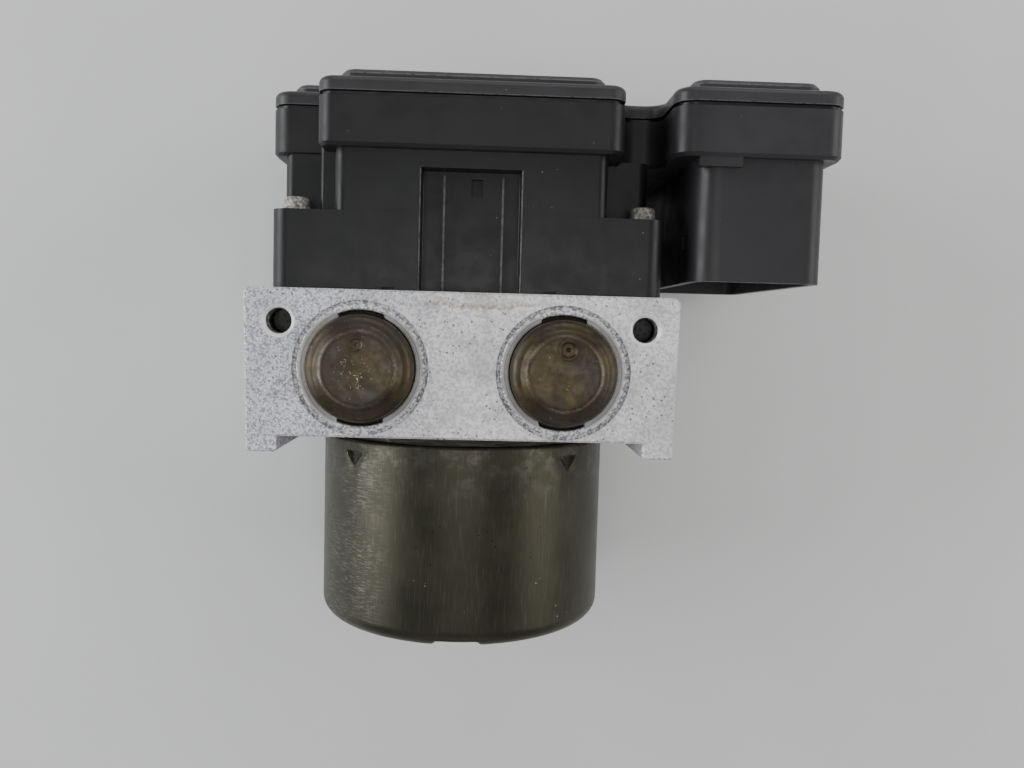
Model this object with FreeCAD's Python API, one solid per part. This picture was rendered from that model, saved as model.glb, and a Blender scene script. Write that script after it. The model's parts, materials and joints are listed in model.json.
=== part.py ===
import FreeCAD, Part
import math
import os

os.makedirs("parts", exist_ok=True)

Vec = FreeCAD.Vector
X_AXIS = Vec(1, 0, 0)
Y_AXIS = Vec(0, 1, 0)
Z_AXIS = Vec(0, 0, 1)

# Frame: millimetres. The module stands on its port face (Z = 0), accumulator face up.
# The motor hangs off the -Y face of the block and the control unit off the +Y face.

# Fits
running_gap = 0.03          # radial gap of a shaft or piston in its bore
loose_gap = 0.08            # radial gap of a guided plunger or brush
seat_gap = 0.05             # gap all round a piece that is pressed or held in its seat
free_gap = 0.2              # clear space between neighbours that only pass each other

# Valve block
block_width = 100.0
block_thickness = 34.0
block_height = 80.0
block_side_taper = 0.7      # each side leans in this much towards the motor
block_edge_radius = 1.5
block_chamfer = 0.5
rib_width = 7.0
rib_height = 3.7
rib_edge_radius = 0.8

# Mounting holes in the accumulator face
mount_spacing = 84.0
mount_offset = 9.4
mount_radius = 3.0
mount_depth = 8.0

# Hydraulic ports in the underside
wheel_port_inner = 8.0       # X of the two inner ports
wheel_port_outer = 24.0
wheel_port_radius = 5.0
master_port_reach = 40.0
master_port_radius = 6.0
port_offset = -6.0
port_depth = 12.0
port_seat_height = 2.2
port_drill_radius = 1.6
port_drill_depth = 18.0

# Accumulators in the upper face
accumulator_spacing = 46.6
accumulator_offset = -1.0
accumulator_radius = 11.0
accumulator_depth = 25.0
cap_seat_radius = 13.4
cap_seat_depth = 4.6
cap_flange_height = 2.0
cap_skirt_radius = 12.4
cap_shoulder_radius = 10.0
cap_rise = 5.4              # crown height above the block's face
cap_crown_rise = 1.6        # crown height above the cap's shoulder
cap_wall = 1.4
cap_bend_wall = 0.98        # height that the wall takes up where the shoulder bends
cap_dimple_offset = 5.8
cap_dimple_depth = 0.5
cap_dimple_ball = 3.0
stake_lip_overhang = 0.8
stake_lip_height = 2.0
stake_lip_sweep = 130.0
stake_groove_inner = 14.3
stake_groove_outer = 15.5
stake_groove_depth = 0.9
accumulator_stop_gap = 1.9  # left between a fully raised piston and its cap
accumulator_piston_wall = 2.3
accumulator_piston_floor = 3.0
accumulator_travel = 6.5
seal_groove_height = 5.0
seal_groove_width = 2.4
seal_groove_depth = 1.4
accumulator_spring_radius = 6.2
accumulator_spring_wire = 0.8
accumulator_spring_turns = 5
accumulator_spring_room = 0.9   # free height between the spring and the cap's crown
accumulator_web = 8.0       # metal between the accumulator bores and the pump bores

# Pump: two opposed pistons driven by the shaft's eccentric
pump_offset = -5.0          # Y of the pump axis
pump_bore_radius = 7.0
pump_plug_length = 11.0
pump_plug_recess = 1.0
pump_plug_socket = 2.5      # half the width of the plug's hexagon
pump_plug_socket_depth = 2.5
pump_cylinder_length = 23.0
pump_cylinder_end = 2.0
pump_outlet_radius = 1.2
pump_valve_radius = 2.4
pump_valve_depth = 3.7
pump_piston_radius = 4.0
pump_piston_length = 15.0
pump_piston_nose = 1.2
pump_spring_radius = 3.2
pump_spring_wire = 0.45
pump_spring_turns = 5
pump_throat_radius = 4.6
eccentric_throw = 1.0
eccentric_radius = 5.5
eccentric_width = 8.0
eccentric_bearing_radius = 8.0
eccentric_chamber_radius = 13.0
eccentric_chamber_depth = 19.0
pilot_bore_radius = 5.0
pilot_bore_depth = 7.0

# Solenoid valves in the control unit face
valve_column_inner = 13.0
valve_column_outer = 31.0
inlet_row_rise = 6.3         # above the motor's axis
outlet_row_drop = 11.7       # below the motor's axis
valve_bore_radius = 6.5
valve_bore_depth = 12.0
valve_collar_radius = 7.2
valve_collar_depth = 2.0
valve_duct_radius = 1.2
dome_radius = 3.3
dome_wall = 0.6
dome_length = 21.0
plunger_travel = 0.3
plunger_nose_length = 2.4
plunger_nose_radius = 0.9

# Drillings that join the bores, each closed by a steel ball
drilling_radius = 1.6
ball_radius = 2.4
ball_sink = 3.6
drilling_offset = 7.0       # Y of the drillings that join the valves
accumulator_drilling_rise = 2.0

# Coils and yokes round the valve domes
yoke_radius = 8.2
yoke_wall = 1.0
yoke_length = 22.0
coil_flange = 0.9
coil_winding_inset = 0.6
coil_rise = 0.8             # yoke foot above the block's face
lead_spacing = 4.4
lead_width = 0.8

# Control unit housing
flange_left = -45.0
flange_right = 46.5
flange_edge = 7.4            # from the unit screws to the flange's long edges
flange_height = 18.2
flange_corner = 4.0
body_left = -30.6
body_right = 32.9
body_step = 0.5              # the body's long sides stand in this much from the flange
body_corner = 2.5
body_step_radius = 1.0
body_height = 14.3
lobe_left = -44.7
lobe_gap = 0.6               # between the coil yokes and the side lobe's wall
lobe_step = -34.8
lobe_step_drop = 6.0
lobe_right = 44.5
lobe_right_drop = 0.5
collar_left = -34.3
collar_right = 36.3
collar_overhang = 3.2
collar_corner = 4.0
collar_height = 11.3
collar_foot_chamfer = 0.8
collar_lobe_left = -48.0
collar_lobe_overhang = 0.4
collar_lobe_corner = 5.0
neck_drop = 1.5
neck_corner = 4.5
connector_left = 47.2
connector_right = 86.7
connector_back_reach = 36.0     # from the housing's middle towards the ports
connector_front_reach = 40.5
connector_corner_left = 5.0
connector_corner_right = 4.5
inner_corner = 2.0          # radius in the inside corners of the outlines
housing_wall = 2.5
partition = 2.5
recess_left = -10.6
recess_right = 12.7
recess_depth = 6.0
recess_height = 28.6
recess_ridge_left = -5.7
recess_ridge_right = 8.2
ridge_width = 0.6
ridge_height = 0.6
slot_left = 1.0
slot_width = 2.6
slot_height = 4.1
slot_drop = 1.6
slot_depth = 1.6
notch_left = -17.7
notch_right = 19.9
notch_width = 2.9
notch_height = 0.8
notch_depth = 1.5
board_post_radius = 2.0
board_post_height = 2.0
board_post_edge = 6.0        # from the inside of the walls to the posts
board_post_split = 15.0      # of the two posts in the side lobe, from its middle

# Connector shroud
shroud_left_inset = 5.8      # from the edges of the collar above it
shroud_right_inset = 3.1
shroud_back_inset = 2.0
shroud_front_inset = 2.5
shroud_corner_left = 6.0
shroud_corner_right = 4.5
shroud_mouth = 4.2          # mouth above the control unit face of the block
shroud_wall = 2.0
shroud_floor = 5.0          # depth of the shroud's floor below the collar floor
tab_width = 10.0
tab_height = 2.2
tab_reach = 1.6
latch_height = 12.4
latch_from_front = 9.0
latch_width = 3.3
latch_length = 4.0
key_rib_back = 16.0          # from the two ends of the shroud
key_rib_front = 18.0
key_rib_start = 2.0
key_rib_width = 1.6
key_rib_height = 1.4

# Pins of the connector
carrier_width = 20.0
carrier_length = 57.0
carrier_ledge = 1.6
carrier_flange = 2.4
carrier_corner = 1.0
pin_rows = 3
pin_columns = 12
pin_pitch = 3.0
pin_row_pitch = 6.0
pin_width = 0.7
pin_taper = 0.8
pin_reach = 17.0            # length of the pins inside the socket
pin_field_start = 28.0       # from the back of the shroud
blade_width = 6.0
blade_thickness = 0.8
blade_start = 13.0           # from the back of the shroud
blade_pitch = 8.0
blade_row_pitch = 10.0

# Circuit board and its parts
board_gap = 0.6
board_thickness = 1.6
pin_tail = 1.2
processor_size = 16.0
processor_height = 1.6
processor_rise = 9.0         # above the housing's middle
processor_corner = 0.5
driver_width = 8.0
driver_length = 6.0
driver_height = 1.5
driver_corner = 0.4
driver_column = 22.0
driver_row = 16.0
capacitor_radius = 3.6
capacitor_length = 15.0
capacitor_bead_start = 1.6   # from the end of the can
capacitor_bead_width = 0.8
capacitor_bead_depth = 0.4
capacitor_drop = 15.0        # below the housing's middle
capacitor_pitch = 10.0
choke_radius = 5.0
choke_height = 5.0
choke_edge = 0.6
choke_column = -38.6

# Cover
parting_groove = 0.9
parting_inset = 0.9
cover_rim = 3.4
cover_edge_radius = 1.5
cover_wall = 2.2
cover_tongue = 1.1
cover_tongue_depth = 1.2
plateau_rise = 2.7
plateau_inset = 4.3
plateau_corner = 4.0
plateau_chamfer = 1.0

# Gasket and screws of the control unit
gasket_inset = 0.6
gasket_width = 1.0
gasket_depth = 1.2
unit_screw_spacing = 82.6
unit_screw_offset = 0.9
unit_screw_gap = 2.5         # between the screw heads and the side lobe
unit_screw_radius = 2.0
unit_screw_depth = 8.0
unit_screw_head_radius = 3.1
unit_screw_head_height = 3.5
screw_column_radius = 4.5
screw_edge = 0.5
drive_depth = 2.0
drive_half_width = 1.5

# Motor
can_radius = 37.5
can_wall = 2.0
can_end_wall = 2.8
can_corner = 4.0
can_length = 48.35
plate_rim = 2.15            # visible rim of the end plate between block and can
plate_rim_inset = 0.6
plate_spigot = 3.85
plate_hub_radius = 14.0
plate_hub_length = 9.0
plate_lip_radius = 7.0
plate_lip_width = 1.6
end_ring_inner = 24.0
end_ring_step = 1.0
end_groove_floor = 8.2
end_groove_top = 12.2
end_groove_depth = 1.6
end_groove_angles = (0.0, 180.0)
rear_cup_depth = 5.1
rear_cup_wall = 2.0
rear_cup_edge = 1.0
stake_width = 6.5
stake_length = 4.2
stake_depth = 1.3
stake_start = 5.2           # from the block's motor face to the flat edge of each mark
stake_angles = (45.0, 135.0, 225.0, 315.0)
stake_lug = 1.0
motor_seal_start = 3.2
motor_seal_width = 1.4
motor_seal_section = 1.25
bearing_radius = 11.0
bearing_width = 7.0
bearing_ring = 2.0
bearing_shield_sink = 0.5
rear_journal_radius = 4.0
front_journal_radius = 5.0
drive_journal_radius = 4.2
pilot_journal_radius = 3.0
pilot_shoulder = 2.0         # from the pilot bearing to the thicker shaft
magnet_thickness = 7.05
magnet_start = 20.5
magnet_length = 23.0
magnet_sweep = 78.0
air_gap = 0.6                # between the magnets and the core
core_start = 25.0
core_length = 16.0
core_slots = 12
slot_mouth = 2.2
slot_top_width = 8.4
slot_root_width = 4.0
slot_root_radius = 13.0
slot_lip = 1.6
winding_gap = 0.25
end_turn_inner = 11.0
end_turn_drop = 3.8          # below the core's rim
end_turn_length = 3.6
end_turn_gap = 0.1
end_turn_bulge = 0.6
end_turn_round = 2.0
commutator_radius = 10.0
commutator_start = 10.6
commutator_length = 9.4
commutator_bars = 12
commutator_groove = 0.5
commutator_groove_depth = 0.8
holder_start = 10.0
holder_thickness = 2.0
holder_inner = 12.0
holder_gap = 1.3
brush_width = 6.0
brush_thickness = 5.0
brush_wall = 1.0
brush_length = 9.0
brush_box_inset = 4.2        # from the holder's rim to the end of each brush box
brush_box_mouth = 3.0
brush_spring_radius = 2.0
brush_spring_wire = 0.3
brush_spring_turns = 4
tower_offset = 20.0          # contact tower above the motor's axis
tower_radius = 3.9
tower_bore_radius = 4.0
tower_rise = 3.0
contact_spacing = 3.6
contact_width = 1.6
contact_thickness = 0.8
motor_screw_edge = 7.6       # from the can's outside to the screws
motor_screw_angles = (0.0, 141.8, 218.2)
motor_screw_radius = 2.5
motor_screw_hole = 2.7
motor_screw_head_radius = 4.4
motor_screw_head_height = 4.6
motor_screw_sink = 5.2
motor_screw_reach = 5.6     # length inside the end plate
motor_drive_half_width = 2.0
motor_drive_depth = 3.0

# Levels that follow from the sizes above
unit_face = block_thickness / 2
motor_face = -block_thickness / 2
motor_axis_height = block_height - accumulator_depth - accumulator_web - pump_bore_radius
unit_height_axis = motor_axis_height
tower_height = motor_axis_height + tower_offset
accumulator_room = accumulator_depth - cap_seat_depth - accumulator_stop_gap
accumulator_piston_length = accumulator_room - accumulator_travel
inlet_row_height = motor_axis_height + inlet_row_rise
outlet_row_height = motor_axis_height - outlet_row_drop
wheel_port_places = (-wheel_port_outer, -wheel_port_inner, wheel_port_inner, wheel_port_outer)
master_port_places = (-master_port_reach, master_port_reach)
valve_columns = (-valve_column_outer, -valve_column_inner, valve_column_inner, valve_column_outer)
lobe_half_depth = outlet_row_drop + yoke_radius + lobe_gap + housing_wall
lobe_right_half_depth = lobe_half_depth - lobe_right_drop
neck_half_depth = lobe_right_half_depth - neck_drop
collar_lobe_half_depth = lobe_half_depth + collar_lobe_overhang
unit_screw_rise = lobe_half_depth + unit_screw_head_radius + unit_screw_gap
unit_screw_heights = (unit_height_axis - unit_screw_rise, unit_height_axis + unit_screw_rise)
flange_half_depth = unit_screw_rise + flange_edge
body_half_depth = flange_half_depth - body_step
lobe_step_half_depth = body_half_depth - lobe_step_drop
collar_half_depth = body_half_depth + collar_overhang
connector_back = unit_height_axis - connector_back_reach
connector_front = unit_height_axis + connector_front_reach
shroud_left = connector_left + shroud_left_inset
shroud_right = connector_right - shroud_right_inset
shroud_back = connector_back + shroud_back_inset
shroud_front = connector_front - shroud_front_inset
shroud_middle = (shroud_left + shroud_right) / 2
flange_top = unit_face + flange_height
collar_foot = flange_top + body_height
collar_floor = collar_foot + partition
collar_top = collar_foot + collar_height
cover_foot = collar_top + parting_groove
cover_rim_top = cover_foot + cover_rim
plateau_top = cover_rim_top + plateau_rise
can_open_end = motor_face - plate_rim
can_closed_end = can_open_end - can_length
can_inner_radius = can_radius - can_wall
magnet_inner = can_inner_radius - seat_gap - magnet_thickness
core_radius = magnet_inner - air_gap
end_turn_outer = core_radius - end_turn_drop
holder_radius = can_inner_radius - holder_gap
brush_box_end = holder_radius - brush_box_inset
board_foot = collar_floor + board_post_height
board_top = board_foot + board_thickness
shroud_mouth_level = unit_face + shroud_mouth
shroud_floor_level = collar_foot - shroud_floor + partition
sweep_radius = eccentric_bearing_radius + eccentric_throw
piston_clearance = 0.1      # between a resting pump piston and the eccentric's sweep


# Helpers
def upright(shape):
    """A closed solid whose volume counts as positive."""
    if shape.Volume < 0:
        shape.reverse()
    return shape


def cyl_x(radius, start, end, y, z):
    low, high = min(start, end), max(start, end)
    return Part.makeCylinder(radius, high - low, Vec(low, y, z), X_AXIS)


def cyl_y(radius, start, end, x, z):
    low, high = min(start, end), max(start, end)
    return Part.makeCylinder(radius, high - low, Vec(x, low, z), Y_AXIS)


def cyl_z(radius, start, end, x, y):
    low, high = min(start, end), max(start, end)
    return Part.makeCylinder(radius, high - low, Vec(x, y, low), Z_AXIS)


def box(x0, x1, y0, y1, z0, z1):
    return Part.makeBox(x1 - x0, y1 - y0, z1 - z0, Vec(x0, y0, z0))


def merge(first, *others):
    return first.fuse(list(others)).removeSplitter()


def path_face(steps, place):
    """A face inside a closed path: (a, b) is a straight run, (am, bm, a, b) an arc through (am, bm)."""
    edges = []
    start = place(*steps[0])
    here = start
    for step in steps[1:]:
        end = place(*step[-2:])
        if len(step) == 4:
            edges.append(Part.Arc(here, place(*step[:2]), end).toShape())
        else:
            edges.append(Part.LineSegment(here, end).toShape())
        here = end
    if here.sub(start).Length > 1e-6:
        edges.append(Part.LineSegment(here, start).toShape())
    return Part.Face(Part.Wire(edges))


def turned(steps, base, axis, sweep=360.0, start_angle=0.0):
    """A turned piece: steps give (radius, distance along the axis from base)."""
    side = Z_AXIS if axis.z == 0 else X_AXIS
    face = path_face(steps, lambda r, h: base + side * r + axis * h)
    if start_angle:
        face.rotate(base, axis, start_angle)
    return upright(face.revolve(base, axis, sweep))


def bend_from(low_radius, low, high_radius, high):
    """An arc that starts upright at (low_radius, low) and leans in to (high_radius, high)."""
    inward = low_radius - high_radius
    rise = high - low
    size = (inward * inward + rise * rise) / (2 * inward)
    half = math.asin(rise / size) / 2 if rise < size else math.pi / 4
    return low_radius - size * (1 - math.cos(half)), low + size * math.sin(half), high_radius, high


def bend_back(low_radius, low, high_radius, high):
    """The same arc drawn from its upper end to its lower end."""
    mid_radius, mid_level = bend_from(low_radius, low, high_radius, high)[:2]
    return mid_radius, mid_level, low_radius, low


def crown_drop(rim_radius, rise, radius):
    """How far a crown of that rise has fallen at a radius, from its middle."""
    size = (rim_radius * rim_radius + rise * rise) / (2 * rise)
    return size - math.sqrt(size * size - radius * radius)


def crown_to_axis(rim_radius, rim, crown):
    half = rim_radius / 2
    return half, crown - crown_drop(rim_radius, crown - rim, half), 0, crown


def crown_from_axis(rim_radius, rim, crown):
    half = rim_radius / 2
    return half, crown - crown_drop(rim_radius, crown - rim, half), rim_radius, rim


def corner_data(points, index):
    corner = Vec(points[index][0], points[index][1], 0)
    before = Vec(points[index - 1][0], points[index - 1][1], 0)
    after = Vec(points[(index + 1) % len(points)][0], points[(index + 1) % len(points)][1], 0)
    return corner, before.sub(corner), after.sub(corner)


def turns_left(points):
    area = 0.0
    for i, (a, b) in enumerate(points):
        c, d = points[(i + 1) % len(points)]
        area += a * d - c * b
    return area > 0


def inset(outline, depth):
    """The outline moved inwards by depth, with its corner radii following."""
    points, radii = outline
    side = 1.0 if turns_left(points) else -1.0
    new_points = []
    new_radii = []
    for i, radius in enumerate(radii):
        corner, back, ahead = corner_data(points, i)
        run_in = back.multiply(-1.0 / back.Length)
        run_out = ahead.multiply(1.0 / ahead.Length)
        normal_in = Vec(-run_in.y, run_in.x, 0) * side
        normal_out = Vec(-run_out.y, run_out.x, 0) * side
        shift = (normal_in + normal_out) * (depth / (1.0 + normal_in.dot(normal_out)))
        moved = corner + shift
        convex = (run_in.x * run_out.y - run_in.y * run_out.x) * side > 0
        new_points.append((moved.x, moved.y))
        new_radii.append(max(radius - depth, 0.3) if convex else max(radius + depth, 0.3))
    return new_points, new_radii


def rounded_face(outline, place):
    """A face inside a polygon with rounded corners; a radius is limited by the runs beside it."""
    points, radii = outline
    count = len(points)
    halves = []
    reaches = []
    for i in range(count):
        corner, back, ahead = corner_data(points, i)
        half = back.getAngle(ahead) / 2
        halves.append(half)
        reaches.append(radii[i] / math.tan(half))
    limited = list(reaches)
    for i in range(count):
        corner, back, ahead = corner_data(points, i)
        following = (i + 1) % count
        room = 0.96 * ahead.Length
        wanted = reaches[i] + reaches[following]
        if wanted > room:
            limited[i] = min(limited[i], reaches[i] * room / wanted)
            limited[following] = min(limited[following], reaches[following] * room / wanted)
    bends = []
    for i in range(count):
        corner, back, ahead = corner_data(points, i)
        back.normalize()
        ahead.normalize()
        radius = limited[i] * math.tan(halves[i])
        middle = (back + ahead).normalize()
        centre = corner + middle * (radius / math.sin(halves[i]))
        bends.append((corner + back * limited[i], centre - middle * radius, corner + ahead * limited[i]))
    edges = []
    for i, (begin, mid, end) in enumerate(bends):
        last = bends[i - 1][2]
        edges.append(Part.LineSegment(place(last.x, last.y), place(begin.x, begin.y)).toShape())
        edges.append(Part.Arc(place(begin.x, begin.y), place(mid.x, mid.y), place(end.x, end.y)).toShape())
    return Part.Face(Part.Wire(edges))


def plate_y(outline, start, end):
    """An outline in X and Z, raised from one Y level to another."""
    face = rounded_face(outline, lambda a, b: Vec(a, start, b))
    return upright(face.extrude(Vec(0, end - start, 0)))


def plate_z(outline, start, end):
    """An outline in X and Y, raised from one Z level to another."""
    face = rounded_face(outline, lambda a, b: Vec(a, b, start))
    return upright(face.extrude(Vec(0, 0, end - start)))


def rectangle(left, right, low, high, radius):
    return [(left, low), (right, low), (right, high), (left, high)], [radius] * 4


def level_edges(shape, axis_index, level):
    """Edges that lie wholly at one level along X, Y or Z."""
    found = []
    for edge in shape.Edges:
        bounds = edge.BoundBox
        low = (bounds.XMin, bounds.YMin, bounds.ZMin)[axis_index]
        high = (bounds.XMax, bounds.YMax, bounds.ZMax)[axis_index]
        if abs(low - level) < 1e-4 and abs(high - level) < 1e-4:
            found.append(edge)
    return found


def coil_spring(radius, wire, turns, start, end, axis):
    """A round-wire compression spring between two points of its axis."""
    length = end.sub(start).Length - 2 * wire
    helix = Part.makeHelix(length / turns, length, radius)
    section = Part.Wire([Part.makeCircle(wire, Vec(radius, 0, 0), Y_AXIS)])
    coil = upright(Part.Wire(helix).makePipeShell([section], True, True))
    if abs(axis.dot(Z_AXIS)) < 0.5:
        coil.rotate(Vec(0, 0, 0), Z_AXIS.cross(axis), 90)
    coil.translate(start + axis * wire)
    return coil


def hexagon_y(half_width, x, z, start, end):
    reach = half_width / math.cos(math.pi / 6)
    corners = []
    for step in range(6):
        angle = math.radians(60 * step)
        corners.append((x + reach * math.cos(angle), z + reach * math.sin(angle)))
    edges = [Vec(a, start, b) for a, b in corners]
    return upright(Part.Face(Part.makePolygon(edges + [edges[0]])).extrude(Vec(0, end - start, 0)))


# Valve block
def accumulator_places():
    return (-accumulator_spacing / 2, accumulator_spacing / 2)


def block_side(y):
    """Half the block's width at one Y level."""
    return block_width / 2 - block_side_taper * (unit_face - y) / block_thickness


def block_outline():
    root = block_side(motor_face)
    foot = block_side(motor_face - rib_height)
    points = [
        (-block_width / 2, unit_face),
        (-foot, motor_face - rib_height),
        (rib_width - foot, motor_face - rib_height),
        (rib_width - root, motor_face),
        (root - rib_width, motor_face),
        (foot - rib_width, motor_face - rib_height),
        (foot, motor_face - rib_height),
        (block_width / 2, unit_face),
    ]
    radii = [block_edge_radius] + [rib_edge_radius] * 6 + [block_edge_radius]
    return points, radii


def port_cut(x, radius):
    steps = [
        (0, -1),
        (radius, -1),
        (radius, port_depth),
        (port_drill_radius, port_depth + port_seat_height),
        (port_drill_radius, port_drill_depth),
        (0, port_drill_depth),
    ]
    return turned(steps, Vec(x, port_offset, 0), Z_AXIS)


def accumulator_cut(x):
    top = block_height
    seat = top - cap_seat_depth
    bore = cyl_z(accumulator_radius, top - accumulator_depth, top, x, accumulator_offset)
    counterbore = cyl_z(cap_seat_radius, seat, top + 1, x, accumulator_offset)
    groove = cyl_z(stake_groove_outer, top - stake_groove_depth, top + 1, x, accumulator_offset)
    core = cyl_z(stake_groove_inner, top - stake_groove_depth - 1, top + 2, x, accumulator_offset)
    return [bore, counterbore, groove.cut(core)]


def stake_lips(x):
    """The two arcs of lip that are pressed over the flange of an accumulator cap."""
    foot = block_height - cap_seat_depth + cap_flange_height + seat_gap
    outer = (cap_seat_radius + stake_groove_inner) / 2
    inner = cap_seat_radius - stake_lip_overhang
    steps = [
        (outer, foot),
        (inner, foot),
        (inner, foot + stake_lip_height / 2),
        (outer, foot + stake_lip_height),
    ]
    base = Vec(x, accumulator_offset, 0)
    half = stake_lip_sweep / 2
    left = turned(steps, base, Z_AXIS, stake_lip_sweep, -half)
    right = turned(steps, base, Z_AXIS, stake_lip_sweep, -half)
    right.rotate(base, Z_AXIS, 180)
    return [left, right]


def pump_cut(side):
    side_level = block_side(pump_offset)
    shoulder = side_level - pump_plug_recess - pump_plug_length - pump_cylinder_length
    bore = cyl_x(pump_bore_radius, side * shoulder, side * (side_level + 1), pump_offset, motor_axis_height)
    throat = cyl_x(pump_throat_radius, 0, side * (shoulder + 1), pump_offset, motor_axis_height)
    return [bore, throat]


def valve_places():
    places = []
    for height in (inlet_row_height, outlet_row_height):
        for column in valve_columns:
            places.append((column, height))
    return places


def drilling_places():
    """(Y, Z, inner end) of the drillings that run in from each side."""
    inner = accumulator_spacing / 2
    accumulator_floor = block_height - accumulator_depth + accumulator_drilling_rise
    return (
        (drilling_offset, inlet_row_height, abs(valve_columns[1])),
        (drilling_offset, outlet_row_height, abs(valve_columns[1])),
        (accumulator_offset, accumulator_floor, inner),
    )


def unit_screw_places():
    half = unit_screw_spacing / 2
    places = []
    for height in unit_screw_heights:
        for side in (-1, 1):
            places.append((side * half + unit_screw_offset, height))
    return places


def motor_screw_places():
    pitch = can_radius - motor_screw_edge
    places = []
    for angle in motor_screw_angles:
        turn = math.radians(angle)
        places.append((pitch * math.sin(turn), motor_axis_height + pitch * math.cos(turn)))
    return places


def valve_block():
    body = plate_z(block_outline(), 0, block_height)
    rims = level_edges(body, 2, 0) + level_edges(body, 2, block_height)
    body = body.makeChamfer(block_chamfer, rims)
    cuts = []
    for x in wheel_port_places:
        cuts.append(port_cut(x, wheel_port_radius))
    for x in master_port_places:
        cuts.append(port_cut(x, master_port_radius))
    for x in (-mount_spacing / 2, mount_spacing / 2):
        cuts.append(cyl_z(mount_radius, block_height - mount_depth, block_height + 1, x, mount_offset))
    for x in accumulator_places():
        cuts += accumulator_cut(x)
    for side in (-1, 1):
        cuts += pump_cut(side)
        for y, z, inner in drilling_places():
            outer = block_side(y) + 1
            cuts.append(cyl_x(drilling_radius, side * inner, side * outer, y, z))
            cuts.append(cyl_x(ball_radius + seat_gap, side * (outer - 1 - ball_sink), side * outer, y, z))
    chamber_end = motor_face + eccentric_chamber_depth
    cuts.append(cyl_y(eccentric_chamber_radius, motor_face - 1, chamber_end, 0, motor_axis_height))
    cuts.append(cyl_y(pilot_bore_radius, motor_face, chamber_end + pilot_bore_depth, 0, motor_axis_height))
    cuts.append(cyl_y(tower_bore_radius, motor_face - 1, unit_face + 1, 0, tower_height))
    collar = valve_collar_radius + seat_gap
    for x, z in valve_places():
        cuts.append(cyl_y(valve_bore_radius, unit_face - valve_bore_depth, unit_face + 1, x, z))
        cuts.append(cyl_y(collar, unit_face - valve_collar_depth, unit_face + 1, x, z))
    head = motor_screw_head_radius + free_gap
    for x, z in motor_screw_places():
        cuts.append(cyl_y(motor_screw_hole, motor_face - 1, unit_face + 1, x, z))
        cuts.append(cyl_y(head, unit_face - motor_screw_sink, unit_face + 1, x, z))
    for x, z in unit_screw_places():
        depth = unit_screw_depth + free_gap
        cuts.append(cyl_y(unit_screw_radius + seat_gap, unit_face - depth, unit_face + 1, x, z))
    body = body.cut(cuts)
    lips = []
    for x in accumulator_places():
        lips += stake_lips(x)
    return merge(body, *lips)


def channel_ball_plugs():
    balls = []
    for side in (-1, 1):
        for y, z, inner in drilling_places():
            depth = block_side(y) - ball_sink + ball_radius
            balls.append(Part.makeSphere(ball_radius, Vec(side * depth, y, z)))
    return Part.makeCompound(balls)


# Accumulators
def accumulator_cap(x):
    seat = -cap_seat_depth
    flange_top_level = seat + cap_flange_height
    flange_radius = cap_seat_radius - seat_gap
    crown = cap_rise
    shoulder = crown - cap_crown_rise
    inner_skirt = cap_skirt_radius - cap_wall
    inner_shoulder = cap_shoulder_radius - cap_wall
    inner_level = shoulder - cap_bend_wall
    steps = [
        (flange_radius, seat),
        (flange_radius, flange_top_level),
        (cap_skirt_radius, flange_top_level),
        bend_from(cap_skirt_radius, flange_top_level, cap_shoulder_radius, shoulder),
        crown_to_axis(cap_shoulder_radius, shoulder, crown),
        (0, crown - cap_wall),
        crown_from_axis(inner_shoulder, inner_level, crown - cap_wall),
        bend_back(inner_skirt, seat, inner_shoulder, inner_level),
    ]
    base = Vec(x, accumulator_offset, block_height)
    cap = turned(steps, base, Z_AXIS)
    drop = crown_drop(cap_shoulder_radius, cap_crown_rise, cap_dimple_offset)
    level = block_height + crown - drop - cap_dimple_depth + cap_dimple_ball
    dimple = Part.makeSphere(cap_dimple_ball, Vec(x, accumulator_offset + cap_dimple_offset, level))
    return cap.cut(dimple)


def accumulator_piston(x):
    radius = accumulator_radius - running_gap
    floor = block_height - accumulator_depth
    inner = radius - accumulator_piston_wall
    groove = radius - seal_groove_depth
    low = seal_groove_height
    high = seal_groove_height + seal_groove_width
    steps = [
        (0, seat_gap),
        (radius, seat_gap),
        (radius, low),
        (groove, low),
        (groove, high),
        (radius, high),
        (radius, accumulator_piston_length),
        (inner, accumulator_piston_length),
        (inner, accumulator_piston_floor),
        (0, accumulator_piston_floor),
    ]
    return turned(steps, Vec(x, accumulator_offset, floor), Z_AXIS)


def accumulator_seal(x):
    radius = accumulator_radius - running_gap
    floor = block_height - accumulator_depth + seal_groove_height
    outer = cyl_z(radius, floor + seat_gap, floor + seal_groove_width - seat_gap, x, accumulator_offset)
    inner_radius = radius - seal_groove_depth + seat_gap
    return outer.cut(cyl_z(inner_radius, floor, floor + seal_groove_width, x, accumulator_offset))


def accumulator_spring(x):
    low = block_height - accumulator_depth + accumulator_piston_floor + free_gap / 2
    high = block_height + cap_rise - cap_wall - accumulator_spring_room
    start = Vec(x, accumulator_offset, low)
    end = Vec(x, accumulator_offset, high)
    return coil_spring(
        accumulator_spring_radius, accumulator_spring_wire, accumulator_spring_turns, start, end, Z_AXIS
    )


# Pump
def pump_levels():
    """Distances from the block's middle: shoulder, cylinder end, plug end."""
    plug_end = block_side(pump_offset) - pump_plug_recess
    cylinder_end = plug_end - pump_plug_length
    return cylinder_end - pump_cylinder_length, cylinder_end, plug_end


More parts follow.
